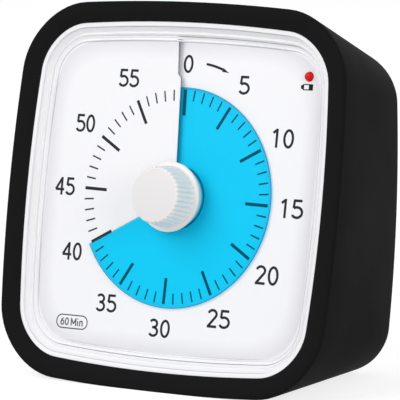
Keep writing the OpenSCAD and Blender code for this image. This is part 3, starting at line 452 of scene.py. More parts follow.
# %% Smooth copies
COPY_SHARP, COPY_MERGE, COPY_FLAT = 30, 0.000002, 1
COPIES = {"rear_case": "rear_shell", "battery_door": "door", "battery_cell": "cell",
          "case_screws": "shell_screws", "sound_switch": "slider", "disc_hub": "film_hub",
          "knob_shaft": "shaft", "buzzer": "sounder", "battery_spring": "contact_coil"}
for node, name in COPIES.items():
    bm = bmesh.new()
    bm.from_mesh(frame["nodes"][node].data)
    bmesh.ops.remove_doubles(bm, verts=bm.verts, dist=COPY_MERGE)
    bmesh.ops.dissolve_limit(bm, angle_limit=radians(COPY_FLAT), verts=bm.verts, edges=bm.edges)
    copy = settle(name, to_mesh(name, bm), FINISHES[slot_of[node]],
                  frame["nodes"][node]["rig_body"], COPY_SHARP)
    lead = copy.modifiers.new("flat faces lead", "WEIGHTED_NORMAL")
    lead.keep_sharp, lead.weight = True, 100
    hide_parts(node)
    print(name, "stands for", node)

# %% [markdown]
# ## Outlines that bow
# Seen from the front the timer is a square with round corners, but no side is straight:
# each one bows out a little. The same outline, with other sizes, gives the lip of the
# sleeve, the steps of the rim and the border of the dial, so one function draws them all.
# It returns the points clockwise from the top left corner.

# %% The bowed outline
SIDE_STEPS, CORNER_STEPS = 12, 14
OUTLINE_POINTS = 4 * (SIDE_STEPS + CORNER_STEPS)


def outline(width, height, radius, bow):
    """A rounded rectangle, given by half its sizes, with every side bowed outwards."""
    points = []
    for quarter in range(4):
        wide, high = (width, height) if quarter % 2 == 0 else (height, width)
        turn = -pi / 2 * quarter
        for step in range(SIDE_STEPS + CORNER_STEPS):
            if step < SIDE_STEPS:
                x, y = (wide - radius) * (2 * step / SIDE_STEPS - 1), high
            else:
                swing = pi / 2 * (1 - (step - SIDE_STEPS) / CORNER_STEPS)
                x, y = wide - radius + radius * cos(swing), high - radius + radius * sin(swing)
            points.append((x * cos(turn) - y * sin(turn), x * sin(turn) + y * cos(turn)))
    return [(x * (1 + bow / width * (1 - (y / height) ** 2)),
             y * (1 + bow / height * (1 - (x / width) ** 2))) for x, y in points]


def mix(first, second, share):
    """A value on the way from the first to the second."""
    return first + share * (second - first)


print("an outline has", OUTLINE_POINTS, "points")

# %% [markdown]
# ## The housing's sizes
# Front and back are such outlines, the back smaller and tilted, and straight walls run
# from one to the other. All sizes are in millimetres and come from the CAD model: the
# face leans back, the sides taper, and the sleeve has its own thickness and lips. What
# the back measures follows from the face, the depth and the three angles.

# %% Sizes of the housing
FACE_W, DEPTH = 78.9, 36
LEAN, SIDE_TAPER, BACK_TILT = radians(10.5), radians(9.5), radians(6.3)
FRONT_CORNER, BACK_CORNER, FRONT_BOW, BACK_BOW = 13.3, 8.5, 1.85, 1.4
LIP, LIP_CREST, LIP_EDGE, BACK_LIP, BACK_LIP_T = 4.25, 1.0, 0.9, 3.6, 1.3
SLEEVE, SLEEVE_GAP, WALL, CASE_EDGE = 1.6, 0.1, 1.8, 0.9
SEAT_Z, SPLIT_Z, EDGE_BEND = -0.15, -14, 0.3
CASE_IN = SLEEVE + SLEEVE_GAP
front_half = FACE_W / 2 - FRONT_BOW
back_z = LIP_CREST - DEPTH
back_slope = tan(BACK_TILT)
back_half_w = FACE_W / 2 - DEPTH * tan(SIDE_TAPER) - BACK_BOW
back_low = (-FACE_W / 2 + DEPTH * tan(LEAN)) / (1 + back_slope * tan(LEAN))
back_high = (FACE_W / 2 - DEPTH * tan(LEAN)) / (1 - back_slope * tan(LEAN))
back_half_h = (back_high - back_low) / 2 - BACK_BOW
back_y = (back_high + back_low) / 2
print("back is", round(2 * (back_half_w + BACK_BOW), 2), "by",
      round(2 * (back_half_h + BACK_BOW), 2), "mm")

# %% [markdown]
# ## Rings round the housing
# A ring is a slice through the tapered walls at some height and some distance in from the
# skin. Sleeve, case and rim are all made of rings, so they nest one in the other without
# any fitting. Some rings are level with the face, and others follow the tilted back.

# %% Rings
def front_ring(z, inset):
    half = front_half - inset
    return [(x, y, z) for x, y in outline(half, half, FRONT_CORNER - inset, FRONT_BOW)]


def back_ring_flat(inset):
    points = outline(back_half_w - inset, back_half_h - inset, BACK_CORNER - inset, BACK_BOW)
    return [(x, y + back_y, back_z + back_slope * (y + back_y)) for x, y in points]


def between(heights, inset):
    """Points on the straight walls at the given heights."""
    ring = []
    for near, far, z in zip(front_ring(LIP_CREST, inset), back_ring_flat(inset), heights):
        t = (LIP_CREST - z) / (LIP_CREST - far[2])
        ring.append((mix(near[0], far[0], t), mix(near[1], far[1], t), z))
    return ring


def wall_ring(z, inset):
    return between([z] * OUTLINE_POINTS, inset)


def back_ring(lift, inset):
    return between([point[2] + lift for point in back_ring_flat(inset)], inset)


print("a ring at half depth is", round(2 * max(x for x, y, z in wall_ring(-DEPTH / 2, 0)), 2),
      "mm wide")

# %% [markdown]
# ## Pulling a skin from ring to ring
# A moulded shell is drawn as a loop of edges that is extruded again and again, each new
# loop being moved to the next ring. That is how one would do it by hand in Edit Mode, and
# it leaves clean quads that shade well. The last loop either closes on the first one or
# gets a cap.

# %% The skin helper
MERGE = 1e-5


def pull(bm, loop, edges, ring):
    """Extrude a loop once and move the new one to the ring's points."""
    made = bmesh.ops.extrude_edge_only(bm, edges=edges)["geom"]
    fresh = {item for item in made if isinstance(item, bmesh.types.BMVert)}
    follow = [next(edge.other_vert(vert) for edge in vert.link_edges
                   if edge.other_vert(vert) in fresh) for vert in loop]
    for vert, point in zip(follow, ring):
        vert.co = point
    return follow, [item for item in made if isinstance(item, bmesh.types.BMEdge)
                    and item.verts[0] in fresh and item.verts[1] in fresh]


def skin(rings, joined=False):
    """A closed skin through rings of equal length, with caps or joined end to end."""
    bm = bmesh.new()
    loop = bmesh.ops.create_circle(bm, segments=len(rings[0]), radius=1)["verts"]
    for vert, point in zip(loop, rings[0]):
        vert.co = point
    first, edges = loop, bm.edges[:]
    first_edges = edges
    for ring in rings[1:] + ([rings[0]] if joined else []):
        loop, edges = pull(bm, loop, edges, ring)
    if joined:
        bmesh.ops.remove_doubles(bm, verts=first + loop, dist=MERGE)
    else:
        for rim in (first_edges, edges):
            bmesh.ops.contextual_create(bm, geom=rim)
    bmesh.ops.recalc_face_normals(bm, faces=bm.faces)
    return bm


print("a skin merges points closer than", MERGE, "mm")

# %% [markdown]
# ## The silicone sleeve
# The sleeve wraps the case and turns over it at the front and the back. Its front lip
# rolls from the outer edge over a low crest down to the opening. It is one closed loop of
# rings: up the outside, over the lip, back down the inside and round the rear lip. Where
# the sleeve stands on the desk it is pressed flat, so points below the desk are lifted.

# %% The sleeve
BACK_ROLL_DEPTH, BACK_ROLL_IN, ROLL_STEP = 2.8, 1.9, 15
MIDDLE_RINGS = (-12, -6)
LIP_SHARES = (0, 0.15, 0.3, 0.5, 0.7, 0.85, 0.95, 1)


def lip_ring(share):
    """Across the front lip, from its rounded edge to the opening, with a soft crest."""
    return front_ring(LIP_CREST * (1 - share * share), mix(LIP_EDGE, LIP, share))


outside = [back_ring(BACK_ROLL_DEPTH * (1 - cos(radians(t))),
                     BACK_ROLL_IN * (1 - sin(radians(t)))) for t in range(0, 91, ROLL_STEP)]
outside += [wall_ring(z, 0) for z in MIDDLE_RINGS]
outside += [wall_ring(LIP_CREST - LIP_EDGE * (1 - sin(radians(t))),
                      LIP_EDGE * (1 - cos(radians(t)))) for t in range(0, 90, ROLL_STEP)]
inside = [front_ring(SEAT_Z, LIP), wall_ring(SEAT_Z, SLEEVE + CASE_EDGE),
          wall_ring(SEAT_Z - CASE_EDGE * EDGE_BEND, SLEEVE + CASE_EDGE * EDGE_BEND),
          wall_ring(SEAT_Z - CASE_EDGE, SLEEVE), back_ring(BACK_LIP_T + CASE_EDGE, SLEEVE),
          back_ring(BACK_LIP_T, SLEEVE + CASE_EDGE), back_ring(BACK_LIP_T, BACK_LIP)]
bm = skin([back_ring(0, BACK_LIP)] + outside + [lip_ring(share) for share in LIP_SHARES] + inside,
          joined=True)
bm.transform(FACE)
for vert in bm.verts:
    vert.co.z = max(vert.co.z, 0)
sleeve = place("sleeve", bm, silicone, sharp=50, where=Matrix.Identity(4))
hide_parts("silicone_cover")

# %% [markdown]
# ## The rim's section
# Between the sleeve's opening and the dial the white case steps down: a flat lip, a small
# step, a wide cove, a low ridge, and the groove in which the dial sits. These are all one
# section, given here as how far across the rim each point is and how deep, from the
# opening's outline to the dial's. Where two surfaces meet, points stand close together,
# and the edge between them stays crisp under smooth shading.

# %% The rim's section
DIAL_W, DIAL_H, DIAL_CORNER, DIAL_BOW = 30.5, 30, 6.3, 1.4
DIAL_DEPTH, DIAL_RISE, DIAL_T = 2.3, 1.2, 0.5
FILM_GAP, FLOOR_GAP, FLOOR_T = 0.25, 0.5, 1.5
open_half, open_corner = front_half - LIP, FRONT_CORNER - LIP
dial_low = -DIAL_DEPTH - DIAL_RISE / 2
floor_z = dial_low + FILM_GAP - DIAL_RISE - FLOOR_GAP
floor_back = floor_z - FLOOR_T
RIM_STEP = ((0.212, 0.06), (0.228, 0.07), (0.238, 0.095), (0.243, 0.14), (0.246, 0.36),
            (0.258, 0.38), (0.266, 0.27))
RIM_COVE = ((0.285, 0.3), (0.31, 0.36), (0.35, 0.45), (0.395, 0.54), (0.44, 0.62),
            (0.475, 0.675), (0.495, 0.705), (0.505, 0.712))
RIM_RIDGE = ((0.518, 0.69), (0.537, 0.655), (0.556, 0.63), (0.574, 0.615), (0.588, 0.615),
             (0.602, 0.635), (0.63, 0.69), (0.66, 0.755), (0.68, 0.805), (0.692, 0.87),
             (0.698, 0.95))
RIM = RIM_STEP + RIM_COVE + RIM_RIDGE


def rim_outline(share):
    return outline(mix(open_half, DIAL_W, share), mix(open_half, DIAL_H, share),
                   mix(open_corner, DIAL_CORNER, share), mix(FRONT_BOW, DIAL_BOW, share))


def rim_ring(z, share):
    return [(x, y, z) for x, y in rim_outline(share)]


print("the rim has", len(RIM), "points, down to", round(floor_z, 2), "mm")

# %% [markdown]
# ## Cutting and joining solids
# Bosses and holes are easier to add with a Boolean than to build into a skin. The helper
# puts two drawings into short-lived objects, lets Blender's exact solver work on them,
# reads the result back as a drawing and removes the objects again.

# %% Boolean helpers
ROD_SIDES = 48


def combine(bm, tool, operation="DIFFERENCE"):
    """Cut a drawing with another closed one, or join them, by a Boolean modifier."""
    pair = [bpy.data.objects.new("work", to_mesh("work", drawing)) for drawing in (bm, tool)]
    for made in pair:
        bpy.context.scene.collection.objects.link(made)
    modifier = pair[0].modifiers.new("combine", "BOOLEAN")
    modifier.object, modifier.operation, modifier.solver = pair[1], operation, "EXACT"
    result = bmesh.new()
    result.from_object(pair[0], bpy.context.evaluated_depsgraph_get())
    for made in pair:
        mesh = made.data
        bpy.data.objects.remove(made)
        bpy.data.meshes.remove(mesh)
    return result


def rods(places, diameter, low, high):
    """Upright round rods, to add as bosses or to cut as holes."""
    bm = bmesh.new()
    for x, y in places:
        bmesh.ops.create_cone(bm, cap_ends=True, segments=ROD_SIDES, radius1=diameter / 2,
                              radius2=diameter / 2, depth=high - low,
                              matrix=Matrix.Translation((x, y, (low + high) / 2)))
    return bm


print("rods have", ROD_SIDES, "sides")

# %% [markdown]
# ## The front case
# The skin of the front case starts at the floor behind the dial, goes out to the joint
# with the rear half, forward along the outside under the sleeve, and in again over the
# rim. Four bosses for the screws are joined to it, and the holes for the knob's shaft and
# for the light are cut.

# %% The front case
BOSSES, BOSS_D, BOSS_END = ((25, -2.4), (-25, -2.4), (17.6, 25.2), (-17.6, 25.2)), 6, -16
SHAFT_HOLE_D, OVERLAP, BOSS_ROOT = 3.8, 1, 0.5
LIGHT_X, LIGHT_Y, LIGHT_D, LIGHT_BASE_D, LIGHT_PLAY = 28.2, 25.7, 1.7, 2.7, 0.2
JOINT_LAP = 1.7
inner, lap = CASE_IN + WALL, CASE_IN + WALL / 2
rings = [wall_ring(floor_back, inner), wall_ring(SPLIT_Z + JOINT_LAP, inner),
         wall_ring(SPLIT_Z + JOINT_LAP, lap), wall_ring(SPLIT_Z, lap),
         wall_ring(SPLIT_Z, CASE_IN), wall_ring(SEAT_Z - CASE_EDGE, CASE_IN),
         wall_ring(SEAT_Z - CASE_EDGE * EDGE_BEND, CASE_IN + CASE_EDGE * EDGE_BEND),
         wall_ring(SEAT_Z, CASE_IN + CASE_EDGE)]
rings += [rim_ring(-DIAL_DEPTH * depth, share) for share, depth in RIM]
rings += [rim_ring(floor_z, RIM[-1][0])]
bm = combine(skin(rings), rods(BOSSES, BOSS_D, BOSS_END, floor_back + BOSS_ROOT), "UNION")
for spot, hole in (((0, 0), SHAFT_HOLE_D), ((LIGHT_X, LIGHT_Y), LIGHT_BASE_D + LIGHT_PLAY)):
    bm = combine(bm, rods([spot], hole, floor_back - OVERLAP, floor_z + OVERLAP))
front_shell = place("front_shell", bm, case_white, sharp=40)
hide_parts("front_case")

# %% [markdown]
# ## The dial is a shallow screw
# The dial is a single turn of a very shallow screw: it climbs 1.2 mm on its way round, so
# at the slit its two ends pass one above the other and the film can dive between them.
# Outside the film's path the slit jogs to the left and runs on to the border as a step.
# These helpers say how high the dial is at any point, and where the slit and the step
# run. Every printed mark uses the same height later on.

# %% How high the dial is
FILM_R, HOLE_R = 22.3, 6.5
SLIT_LAG, SLIT_LAG_OUTER, SLIT_SHIFT = radians(2.6), radians(4.3), -0.2
JOG_R, JOG_L = FILM_R + 1.6, 1.2


def clockwise(x, y):
    """Angle clockwise from the slit, as a share of a turn; past the jog it ends at the step."""
    angle = atan2(x, y)
    if hypot(x, y) > JOG_R and -SLIT_LAG_OUTER < angle < -SLIT_LAG:
        return 0
    return (angle + SLIT_LAG) / (2 * pi) % 1


def dial_top(x, y):
    return dial_low + DIAL_RISE * clockwise(x, y)


def jog_share(r):
    """0 along the slit, 1 along the step, and a soft change between them."""
    share = min(max((r - JOG_R) / JOG_L, 0), 1)
    return share * share * (3 - 2 * share)


def slit_point(r):
    lag = mix(SLIT_LAG, SLIT_LAG_OUTER, jog_share(r))
    return SLIT_SHIFT - r * sin(lag), r * cos(lag)


def step_point(share):
    y = mix(open_half, DIAL_H, share) + mix(FRONT_BOW, DIAL_BOW, share)
    return SLIT_SHIFT - y * tan(SLIT_LAG_OUTER), y


print("the dial climbs from", round(dial_top(0, FILM_R), 2), "to",
      round(dial_top(-2, FILM_R), 2), "mm")

# %% [markdown]
# ## The dial's columns
# A section from the hole to the raised border is drawn once as a closed loop, and the
# dial is that loop extruded from column to column, clockwise from the low side of the
# slit to the high side. In the slit the two ends overlap by a fraction of a millimetre,
# as seen from the front, and at the border they all but touch. A second ring of points
# close to the flat's outer edge keeps that edge sharp at the round corners.

# %% The dial's columns
BORDER_H, SLIT_LAP, SEAM, EDGE_T = 0.42, 0.3, 0.05, 0.25
FLAT_EDGE, FLAT_EDGE_INNER = 1.03, 1.008
INNER_RIDGE = ((1, -0.2), (0.988, -0.25), (0.984, 0.2), (0.974, 0.5), (0.958, 0.75),
               (0.94, 0.85), (0.925, 0.86), (0.912, 0.8), (0.905, 0.65), (0.898, 0.35))
OUTER_RIDGE = ((0.89, 0.2), (0.88, 0.18), (0.86, 0.28), (0.8, 0.75), (0.76, 1.02),
               (0.74, 1.1), (0.727, 1.08), (0.719, 0.9), (0.715, 0.6))
BORDER = INNER_RIDGE + OUTER_RIDGE
TOP_MIDDLE, LAST_COLUMN = SIDE_STEPS // 2, OUTLINE_POINTS + 1
MIDDLE_R, JOG_START, JOG_STEPS = 14, JOG_R - 0.1, 6
RADII = (HOLE_R, MIDDLE_R, JOG_START) + tuple(JOG_R + JOG_L * k / JOG_STEPS
                                              for k in range(1, JOG_STEPS + 1))


def dial_column(j):
    """The dial's section in column j, as a closed loop of points."""
    index = (j - 1 + TOP_MIDDLE) % OUTLINE_POINTS
    at_slit = j in (0, LAST_COLUMN)
    edge = rim_outline(1)[index]
    turn = 0 if j == 0 else 1 if j == LAST_COLUMN else clockwise(*edge)
    top = dial_low + DIAL_RISE * turn
    under = top - (EDGE_T if j == LAST_COLUMN else DIAL_T)
    lap, seam = (SLIT_LAP / 2, -SEAM) if j else (-SLIT_LAP, SEAM)

    def circle(r, z):
        if at_slit:
            x, y = slit_point(r)
            return (x + lap, y, z)
        size = hypot(*edge)
        return (r * edge[0] / size, r * edge[1] / size, z)

    def rim(share, z):
        if at_slit:
            x, y = step_point(share)
            return (x + (lap if share > 1 else seam), y, z)
        return (*rim_outline(share)[index], z)

    face = [circle(r, top) for r in RADII] + [rim(FLAT_EDGE, top), rim(FLAT_EDGE_INNER, top)]
    border = [rim(share, top + lift * BORDER_H) for share, lift in BORDER]
    foot = [rim(BORDER[-1][0], floor_z), rim(1, floor_z), rim(1, under), rim(FLAT_EDGE, under)]
    return face + border + foot + [circle(r, under) for r in reversed(RADII)]


print("a column has", len(dial_column(0)), "points")

# %% [markdown]
# ## The dial
# The columns become one skin with a cap at either side of the slit. Only where the step
# crosses the two ridges of the border does a small wall join the levels, because the
# border goes all the way round. Its hole for the light is cut last.

# %% The dial
WALL_LEFT, WALL_RIGHT, WALL_TOP_RIGHT, FLOOR_LIFT = -0.2, 0.9, 0.15, 0.01
RIDGE_WALLS = ((0.98, 0.91, 0.5), (0.87, 0.73, 0.2))
LIGHT_GAP = 0.3
dial_high = dial_low + DIAL_RISE
bm = skin([dial_column(j) for j in range(LAST_COLUMN + 1)])
bmesh.ops.triangulate(bm, faces=[face for face in bm.faces if len(face.verts) > 4])
for start, end, lift in RIDGE_WALLS:
    path = [step_point(start), step_point(end)]
    levels = ((floor_z + FLOOR_LIFT, WALL_RIGHT), (dial_low + lift * BORDER_H, WALL_RIGHT),
              (dial_high + lift * BORDER_H, WALL_TOP_RIGHT))
    wall = skin([[(x + WALL_LEFT, y, z) for x, y in path]
                 + [(x + reach, y, z) for x, y in reversed(path)] for z, reach in levels])
    bm = combine(bm, wall, "UNION")
bm = combine(bm, rods([(LIGHT_X, LIGHT_Y)], LIGHT_D + LIGHT_GAP, floor_z - OVERLAP, 0))
dial = place("dial", bm, dial_white, sharp=40)
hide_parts("dial_plate")

# %% [markdown]
# ## The film
# The film is cut from the same shallow screw, a quarter of a millimetre above the dial.
# It turns and climbs with its hub, so it stays in its own surface and never has to bend.
# At rest forty minutes of it lie in front of the dial, and the rest waits behind it. Its
# narrow outer band and its two cut ends get the deep blue finish, the painted edge line.

# %% The film
FILM_T, FILM_STEPS, FILM_ROOT = 0.2, 240, 5.7
FILM_EDGE, FILM_ROUND = 0.13, 0.02
MINUTES_SHOWN, MINUTE_TURN, ZERO_TURN, FILM_SPAN = 40, 6, 1.3, 358  # turns in degrees
film_lead = radians(MINUTES_SHOWN * MINUTE_TURN + ZERO_TURN) + SLIT_LAG
film_tail = film_lead - radians(FILM_SPAN)


def film_column(j):
    turn = mix(film_tail, film_lead, j / FILM_STEPS)
    low = dial_low + FILM_GAP + DIAL_RISE * turn / (2 * pi)
    high = low + FILM_T
    x, y = sin(turn - SLIT_LAG), cos(turn - SLIT_LAG)
    return [(r * x, r * y, z) for r, z in (
        (FILM_ROOT, low), (FILM_ROOT, high), (FILM_R - FILM_EDGE, high),
        (FILM_R, high - FILM_ROUND), (FILM_R, low))]


bm = skin([film_column(j) for j in range(FILM_STEPS + 1)])
# the outer band and the cut ends take the painted deep blue edge line
for face in bm.faces:
    middle = face.calc_center_median()
    if hypot(middle.x, middle.y) > FILM_R - FILM_EDGE or len(face.verts) > 4:
        face.material_index = 1
film = place("film", bm, film_blue, "disc", sharp=40)
film.data.materials.append(film_edge_painted.material)
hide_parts("timer_disc")

# %% [markdown]
# ## The knob's ribs
# The knob is a ribbed cap on a round flange. Its skin is pulled through rings whose
# radius waves 36 times round. The fourth power makes each rib broad and each groove
# narrow, as a mould cutter leaves them, and the waves fade out over the round shoulder.

# %% The ribbed cap
RIBS, RIB_POINTS, RIB_DEPTH, RIB_POWER = 36, 12, 0.42, 4
FLANGE_R, FLANGE_T, KNOB_BACK, KNOB_FRONT = 7.07, 0.85, -0.1, 5.95
ROOT_R, TIP_R, KNOB_FACE_R, SHOULDER_H, CAP_SINK = 6.3, 5.75, 5.2, 1, 0.1
flange_top = KNOB_BACK + FLANGE_T
shoulder = KNOB_FRONT - SHOULDER_H


def rib_ring(z, radius, depth):
    ring = []
    for i in range(RIBS * RIB_POINTS):
        angle = 2 * pi * i / (RIBS * RIB_POINTS)
        groove = abs(2 * (i % RIB_POINTS) / RIB_POINTS - 1) ** RIB_POWER
        r = radius - depth * groove
        ring.append((r * cos(angle), -r * sin(angle), z))
    return ring


rings = [rib_ring(flange_top - CAP_SINK, ROOT_R, RIB_DEPTH),
         rib_ring(mix(flange_top, shoulder, 0.5), mix(ROOT_R, TIP_R, 0.5), RIB_DEPTH),
         rib_ring(shoulder, TIP_R, RIB_DEPTH)]
for t in range(ROLL_STEP, 91, ROLL_STEP):
    share = radians(t)
    rings.append(rib_ring(shoulder + SHOULDER_H * sin(share),
                          mix(TIP_R, KNOB_FACE_R, 1 - cos(share)), RIB_DEPTH * cos(share)))
knob_skin = skin(rings)
print("the cap has", RIBS, "ribs and", len(knob_skin.faces), "faces")

# %% [markdown]
# ## The flange and the finished knob
# A turned piece is drawn as half a section, from the axis out and back to the axis, and
# spun once round. The flange is spun into the same drawing as the cap, so the knob is one
# piece. The flat face at the front is found by its many corners and gets the greyer
# finish, which is painted shade.

# %% The knob
FLANGE_SIDES, SPIN_MERGE = 120, 1e-4


def turned(bm, section, sides):
    """Spin a section of (radius, height) points, from axis to axis, into a round piece."""
    verts = [bm.verts.new((r, 0, z)) for r, z in section]
    edges = [bm.edges.new(pair) for pair in zip(verts, verts[1:])]
    bmesh.ops.spin(bm, geom=verts + edges, cent=(0, 0, 0), axis=(0, 0, 1), angle=2 * pi,
                   steps=sides, use_merge=True)
    bmesh.ops.remove_doubles(bm, verts=bm.verts, dist=SPIN_MERGE)
    bmesh.ops.recalc_face_normals(bm, faces=bm.faces)


bm = knob_skin
flange = ((0.25, 0), (0.07, 0.06), (0, 0.2), (0, 0.5), (0.08, 0.7), (0.22, 0.81), (0.4, FLANGE_T))
turned(bm, [(0, KNOB_BACK)] + [(FLANGE_R - inset, KNOB_BACK + rise) for inset, rise in flange]
       + [(0, flange_top)], FLANGE_SIDES)
# the flat front takes the second slot, painted greyer as shade
for face in bm.faces:
    if len(face.verts) > 4 and face.calc_center_median().z > shoulder:
        face.material_index = 1
knob = place("knob", bm, knob_white, "knob", sharp=32)
knob.data.materials.append(knob_face_shaded.material)
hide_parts("setting_knob")

# %% [markdown]
# ## A pen for the printed marks
# All marks on the dial are printed with strokes of even width. The pen is one edge, as
# wide as the stroke, that is extruded along a path and turned at every point. At a bend
# the edge gets longer, up to twice, so the stroke keeps its width round the corner.

# %% The pen
def arc(x, y, rx, ry, start, end, steps=20):
    """Points on an oval, from one angle to another in degrees."""
    angles = [radians(mix(start, end, i / steps)) for i in range(steps + 1)]
    return [(x + rx * cos(angle), y + ry * sin(angle)) for angle in angles]


def stroke(bm, path, width, closed=False):
    """Draw a flat stroke along a path."""
    count = len(path)
    pairs = []
    for i, (x, y) in enumerate(path):
        before = path[(i - 1) % count] if closed or i else path[i]
        after = path[(i + 1) % count] if closed or i < count - 1 else path[i]
        first = Vector((x - before[0], y - before[1])).normalized()
        second = Vector((after[0] - x, after[1] - y)).normalized()
        if first.length == 0 or second.length == 0:
            first = second = first + second
        across = Vector((-(first + second).y, (first + second).x)).normalized()
        reach = width / 2 / max(0.5, across.dot(Vector((-first.y, first.x))))
        pairs.append(((x + across.x * reach, y + across.y * reach, 0),
                      (x - across.x * reach, y - across.y * reach, 0)))
    nib = [bm.verts.new(point) for point in pairs[0]]
    start, edges = nib, [bm.edges.new(nib)]
    for pair in pairs[1:] + ([pairs[0]] if closed else []):
        nib, edges = pull(bm, nib, edges, pair)
    if closed:
        bmesh.ops.remove_doubles(bm, verts=start + nib, dist=MERGE)


def patch(bm, points):
    """A flat filled shape."""
    bm.faces.new([bm.verts.new((x, y, 0)) for x, y in points])


print("the pen is ready")

# %% [markdown]
# ## Printing onto the dial
# The flat marks get the thickness of a printed layer, and then every point is dropped
# onto the helical dial, a hair below its surface so that no gap shows. Real geometry
# stays sharp however close one looks, and needs no image.

# %% Printing
PRINT_T, PRINT_SINK = 0.03, 0.01


def print_on_dial(name, bm, finish):
    """Give flat marks a print's thickness, drop them onto the dial and make them a piece."""
    bmesh.ops.recalc_face_normals(bm, faces=bm.faces)
    for face in bm.faces:
        if face.normal.z < 0:
            face.normal_flip()
    for item in bmesh.ops.extrude_face_region(bm, geom=bm.faces[:])["geom"]:
        if isinstance(item, bmesh.types.BMVert):
            item.co.z += PRINT_T
    bmesh.ops.recalc_face_normals(bm, faces=bm.faces)
    for vert in bm.verts:
        vert.co.z += dial_top(vert.co.x, vert.co.y) - PRINT_SINK
    return place(name, bm, finish, sharp=30)


print("a print is", PRINT_T - PRINT_SINK, "mm proud of the dial")

# %% [markdown]
# ## The scale
# Sixty fine ticks mark the minutes, and every fifth is longer and heavier. The printed
# ring is turned a degree past twelve o'clock. Towards the top its ticks stand a little
# further left, beside the slit, which leans that way too. The tick at zero is the
# heaviest and has a slight lean of its own.

# %% The scale
SCALE_X, SCALE_Y, SCALE_TURN, SCALE_R = -0.25, 0.2, 1.25, 21.7
MINUTE_TICK, FIVE_TICK, ZERO_WIDTH = (2.2, 0.31), (5.25, 0.65), 0.78
LEFT_NUDGE, RIGHT_NUDGE, ZERO_SHIFT, ZERO_LEAN = (-0.35, -0.2), (-0.6, 0), -0.1, 0.3
bm = bmesh.new()
for minute in range(60):
    angle = radians(MINUTE_TURN * minute + SCALE_TURN)
    length, width = FIVE_TICK if minute % 5 == 0 else MINUTE_TICK
    top_share = max(0, cos(angle)) ** 2
    nudge_x, nudge_y = (part * top_share for part in (LEFT_NUDGE if minute > 30 else RIGHT_NUDGE))
    path = [(SCALE_X + r * sin(angle) + nudge_x, SCALE_Y + r * cos(angle) + nudge_y)
            for r in (SCALE_R, SCALE_R - length)]
    if minute == 0:
        path = [(x + ZERO_SHIFT + ZERO_LEAN * i, y) for i, (x, y) in enumerate(path)]
        width = ZERO_WIDTH
    stroke(bm, path, width)
print_on_dial("scale", bm, ink)

# %% [markdown]
# ## The digits
# The numerals are light, upright and without serifs. Each digit is a few strokes and
# pieces of ovals inside a box 3.7 mm high, drawn round its middle. Drawing them with the
# pen keeps the stroke even, and no font file is needed. Only the digits that the twelve
# numerals use are drawn.

# %% The digits
DIGIT_H, DIGIT_STROKE, DIGIT_STEP, DIGIT_WIDEN = 3.7, 0.51, 2.68, 1.14
top_line, half_zero = (DIGIT_H - DIGIT_STROKE) / 2, 0.79
stem_top, stem_foot = top_line + 0.2, -top_line - 0.23


def digit_paths(digit):
    """The strokes of a digit round its middle, each with whether it is closed."""
    if digit == "0":
        return [(arc(0, 0, half_zero, top_line, 0, 360, 40)[:-1], True)]
    if digit == "1":
        lines = [[(-0.6, 0.98), (0.12, top_line)], [(0.12, stem_top), (0.12, stem_foot)]]
    elif digit == "2":
        lines = [arc(-0.02, top_line - 0.8, 0.78, 0.8, 165, -32, 18) + [(-0.78, -top_line)],
                 [(-0.95, -top_line), (0.88, -top_line)]]
    elif digit == "3":
        lines = [arc(-0.1, top_line - 0.74, 0.72, 0.74, 150, -90, 18) + [(-0.35, 0.1)],
                 [(-0.35, 0.1), (-0.1, 0.1)]
                 + arc(-0.1, -top_line + 0.85, 0.86, 0.85, 90, -150, 20)]
    elif digit == "4":
        lines = [[(0.4, stem_top), (0.4, stem_foot)], [(0.4, top_line + 0.05), (-0.98, -0.68)],
                 [(-1.05, -0.7), (0.98, -0.7)]]
    else:
        lines = [[(0.84, top_line), (-0.66, top_line)], [(-0.55, stem_top), (-0.66, 0.18)],
                 arc(-0.02, -top_line + 0.98, 0.95, 0.98, 130, -150, 24)]
    return [(line, False) for line in lines]


def write(bm, text, x, y, widen, tall):
    """Write digits round a middle point."""
    step = DIGIT_STEP * widen / DIGIT_WIDEN
    for spot, digit in enumerate(text):
        shift = x + (spot - (len(text) - 1) / 2) * step
        for path, closed in digit_paths(digit):
            stroke(bm, [(shift + px * widen, y + py * tall) for px, py in path],
                   DIGIT_STROKE * tall, closed)


print("digits are", DIGIT_H, "mm high, with strokes of", DIGIT_STROKE, "mm")

# %% [markdown]
# ## The numerals round the dial
# The numerals stand on a circle of 27 mm, but not exactly: a designer moves each one by
# eye until the ring looks even. Below, u is how far to the right a numeral is and v how
# far up, and the small terms are those moves. On the right they are also a little larger.

# %% The numerals
NUMERAL_R, RIGHT_WIDER, RIGHT_TALLER = 27.0, 0.1, 0.05
bm = bmesh.new()
for mark in range(0, 60, 5):
    angle = radians(MINUTE_TURN * mark + ZERO_TURN)
    u, v = sin(angle), cos(angle)
    x = NUMERAL_R * u - 0.2 * max(0, u) ** 2 - (0.7 + 0.2 * v) * v * v
    y = NUMERAL_R * v + 0.12 - 0.25 * v + 0.2 * v * v + 0.5 * u * v
    write(bm, str(mark), x, y, widen=DIGIT_WIDEN + RIGHT_WIDER * u,
          tall=1 + RIGHT_TALLER * max(0, u))
print_on_dial("numerals", bm, ink)

# %% [markdown]
# ## The arrow
# Right of the zero a curved arrow shows which way to turn the knob. It is one thin arc
# with a small pointed head.

# %% The arrow
bm = bmesh.new()
stroke(bm, arc(1.3, 7.2, 20.2, 20.2, 82.3, 70.8, 12), 0.5)
patch(bm, [(9.5, 25.62), (7.82, 25.82), (8.1, 26.6)])
print_on_dial("turn_arrow", bm, ink)

# %% [markdown]
# ## The hour sign
# In the lower left a rounded frame says that one turn is 60 minutes. Its letters are only
# a millimetre and a half high, so a few straight strokes and ovals are enough for them.

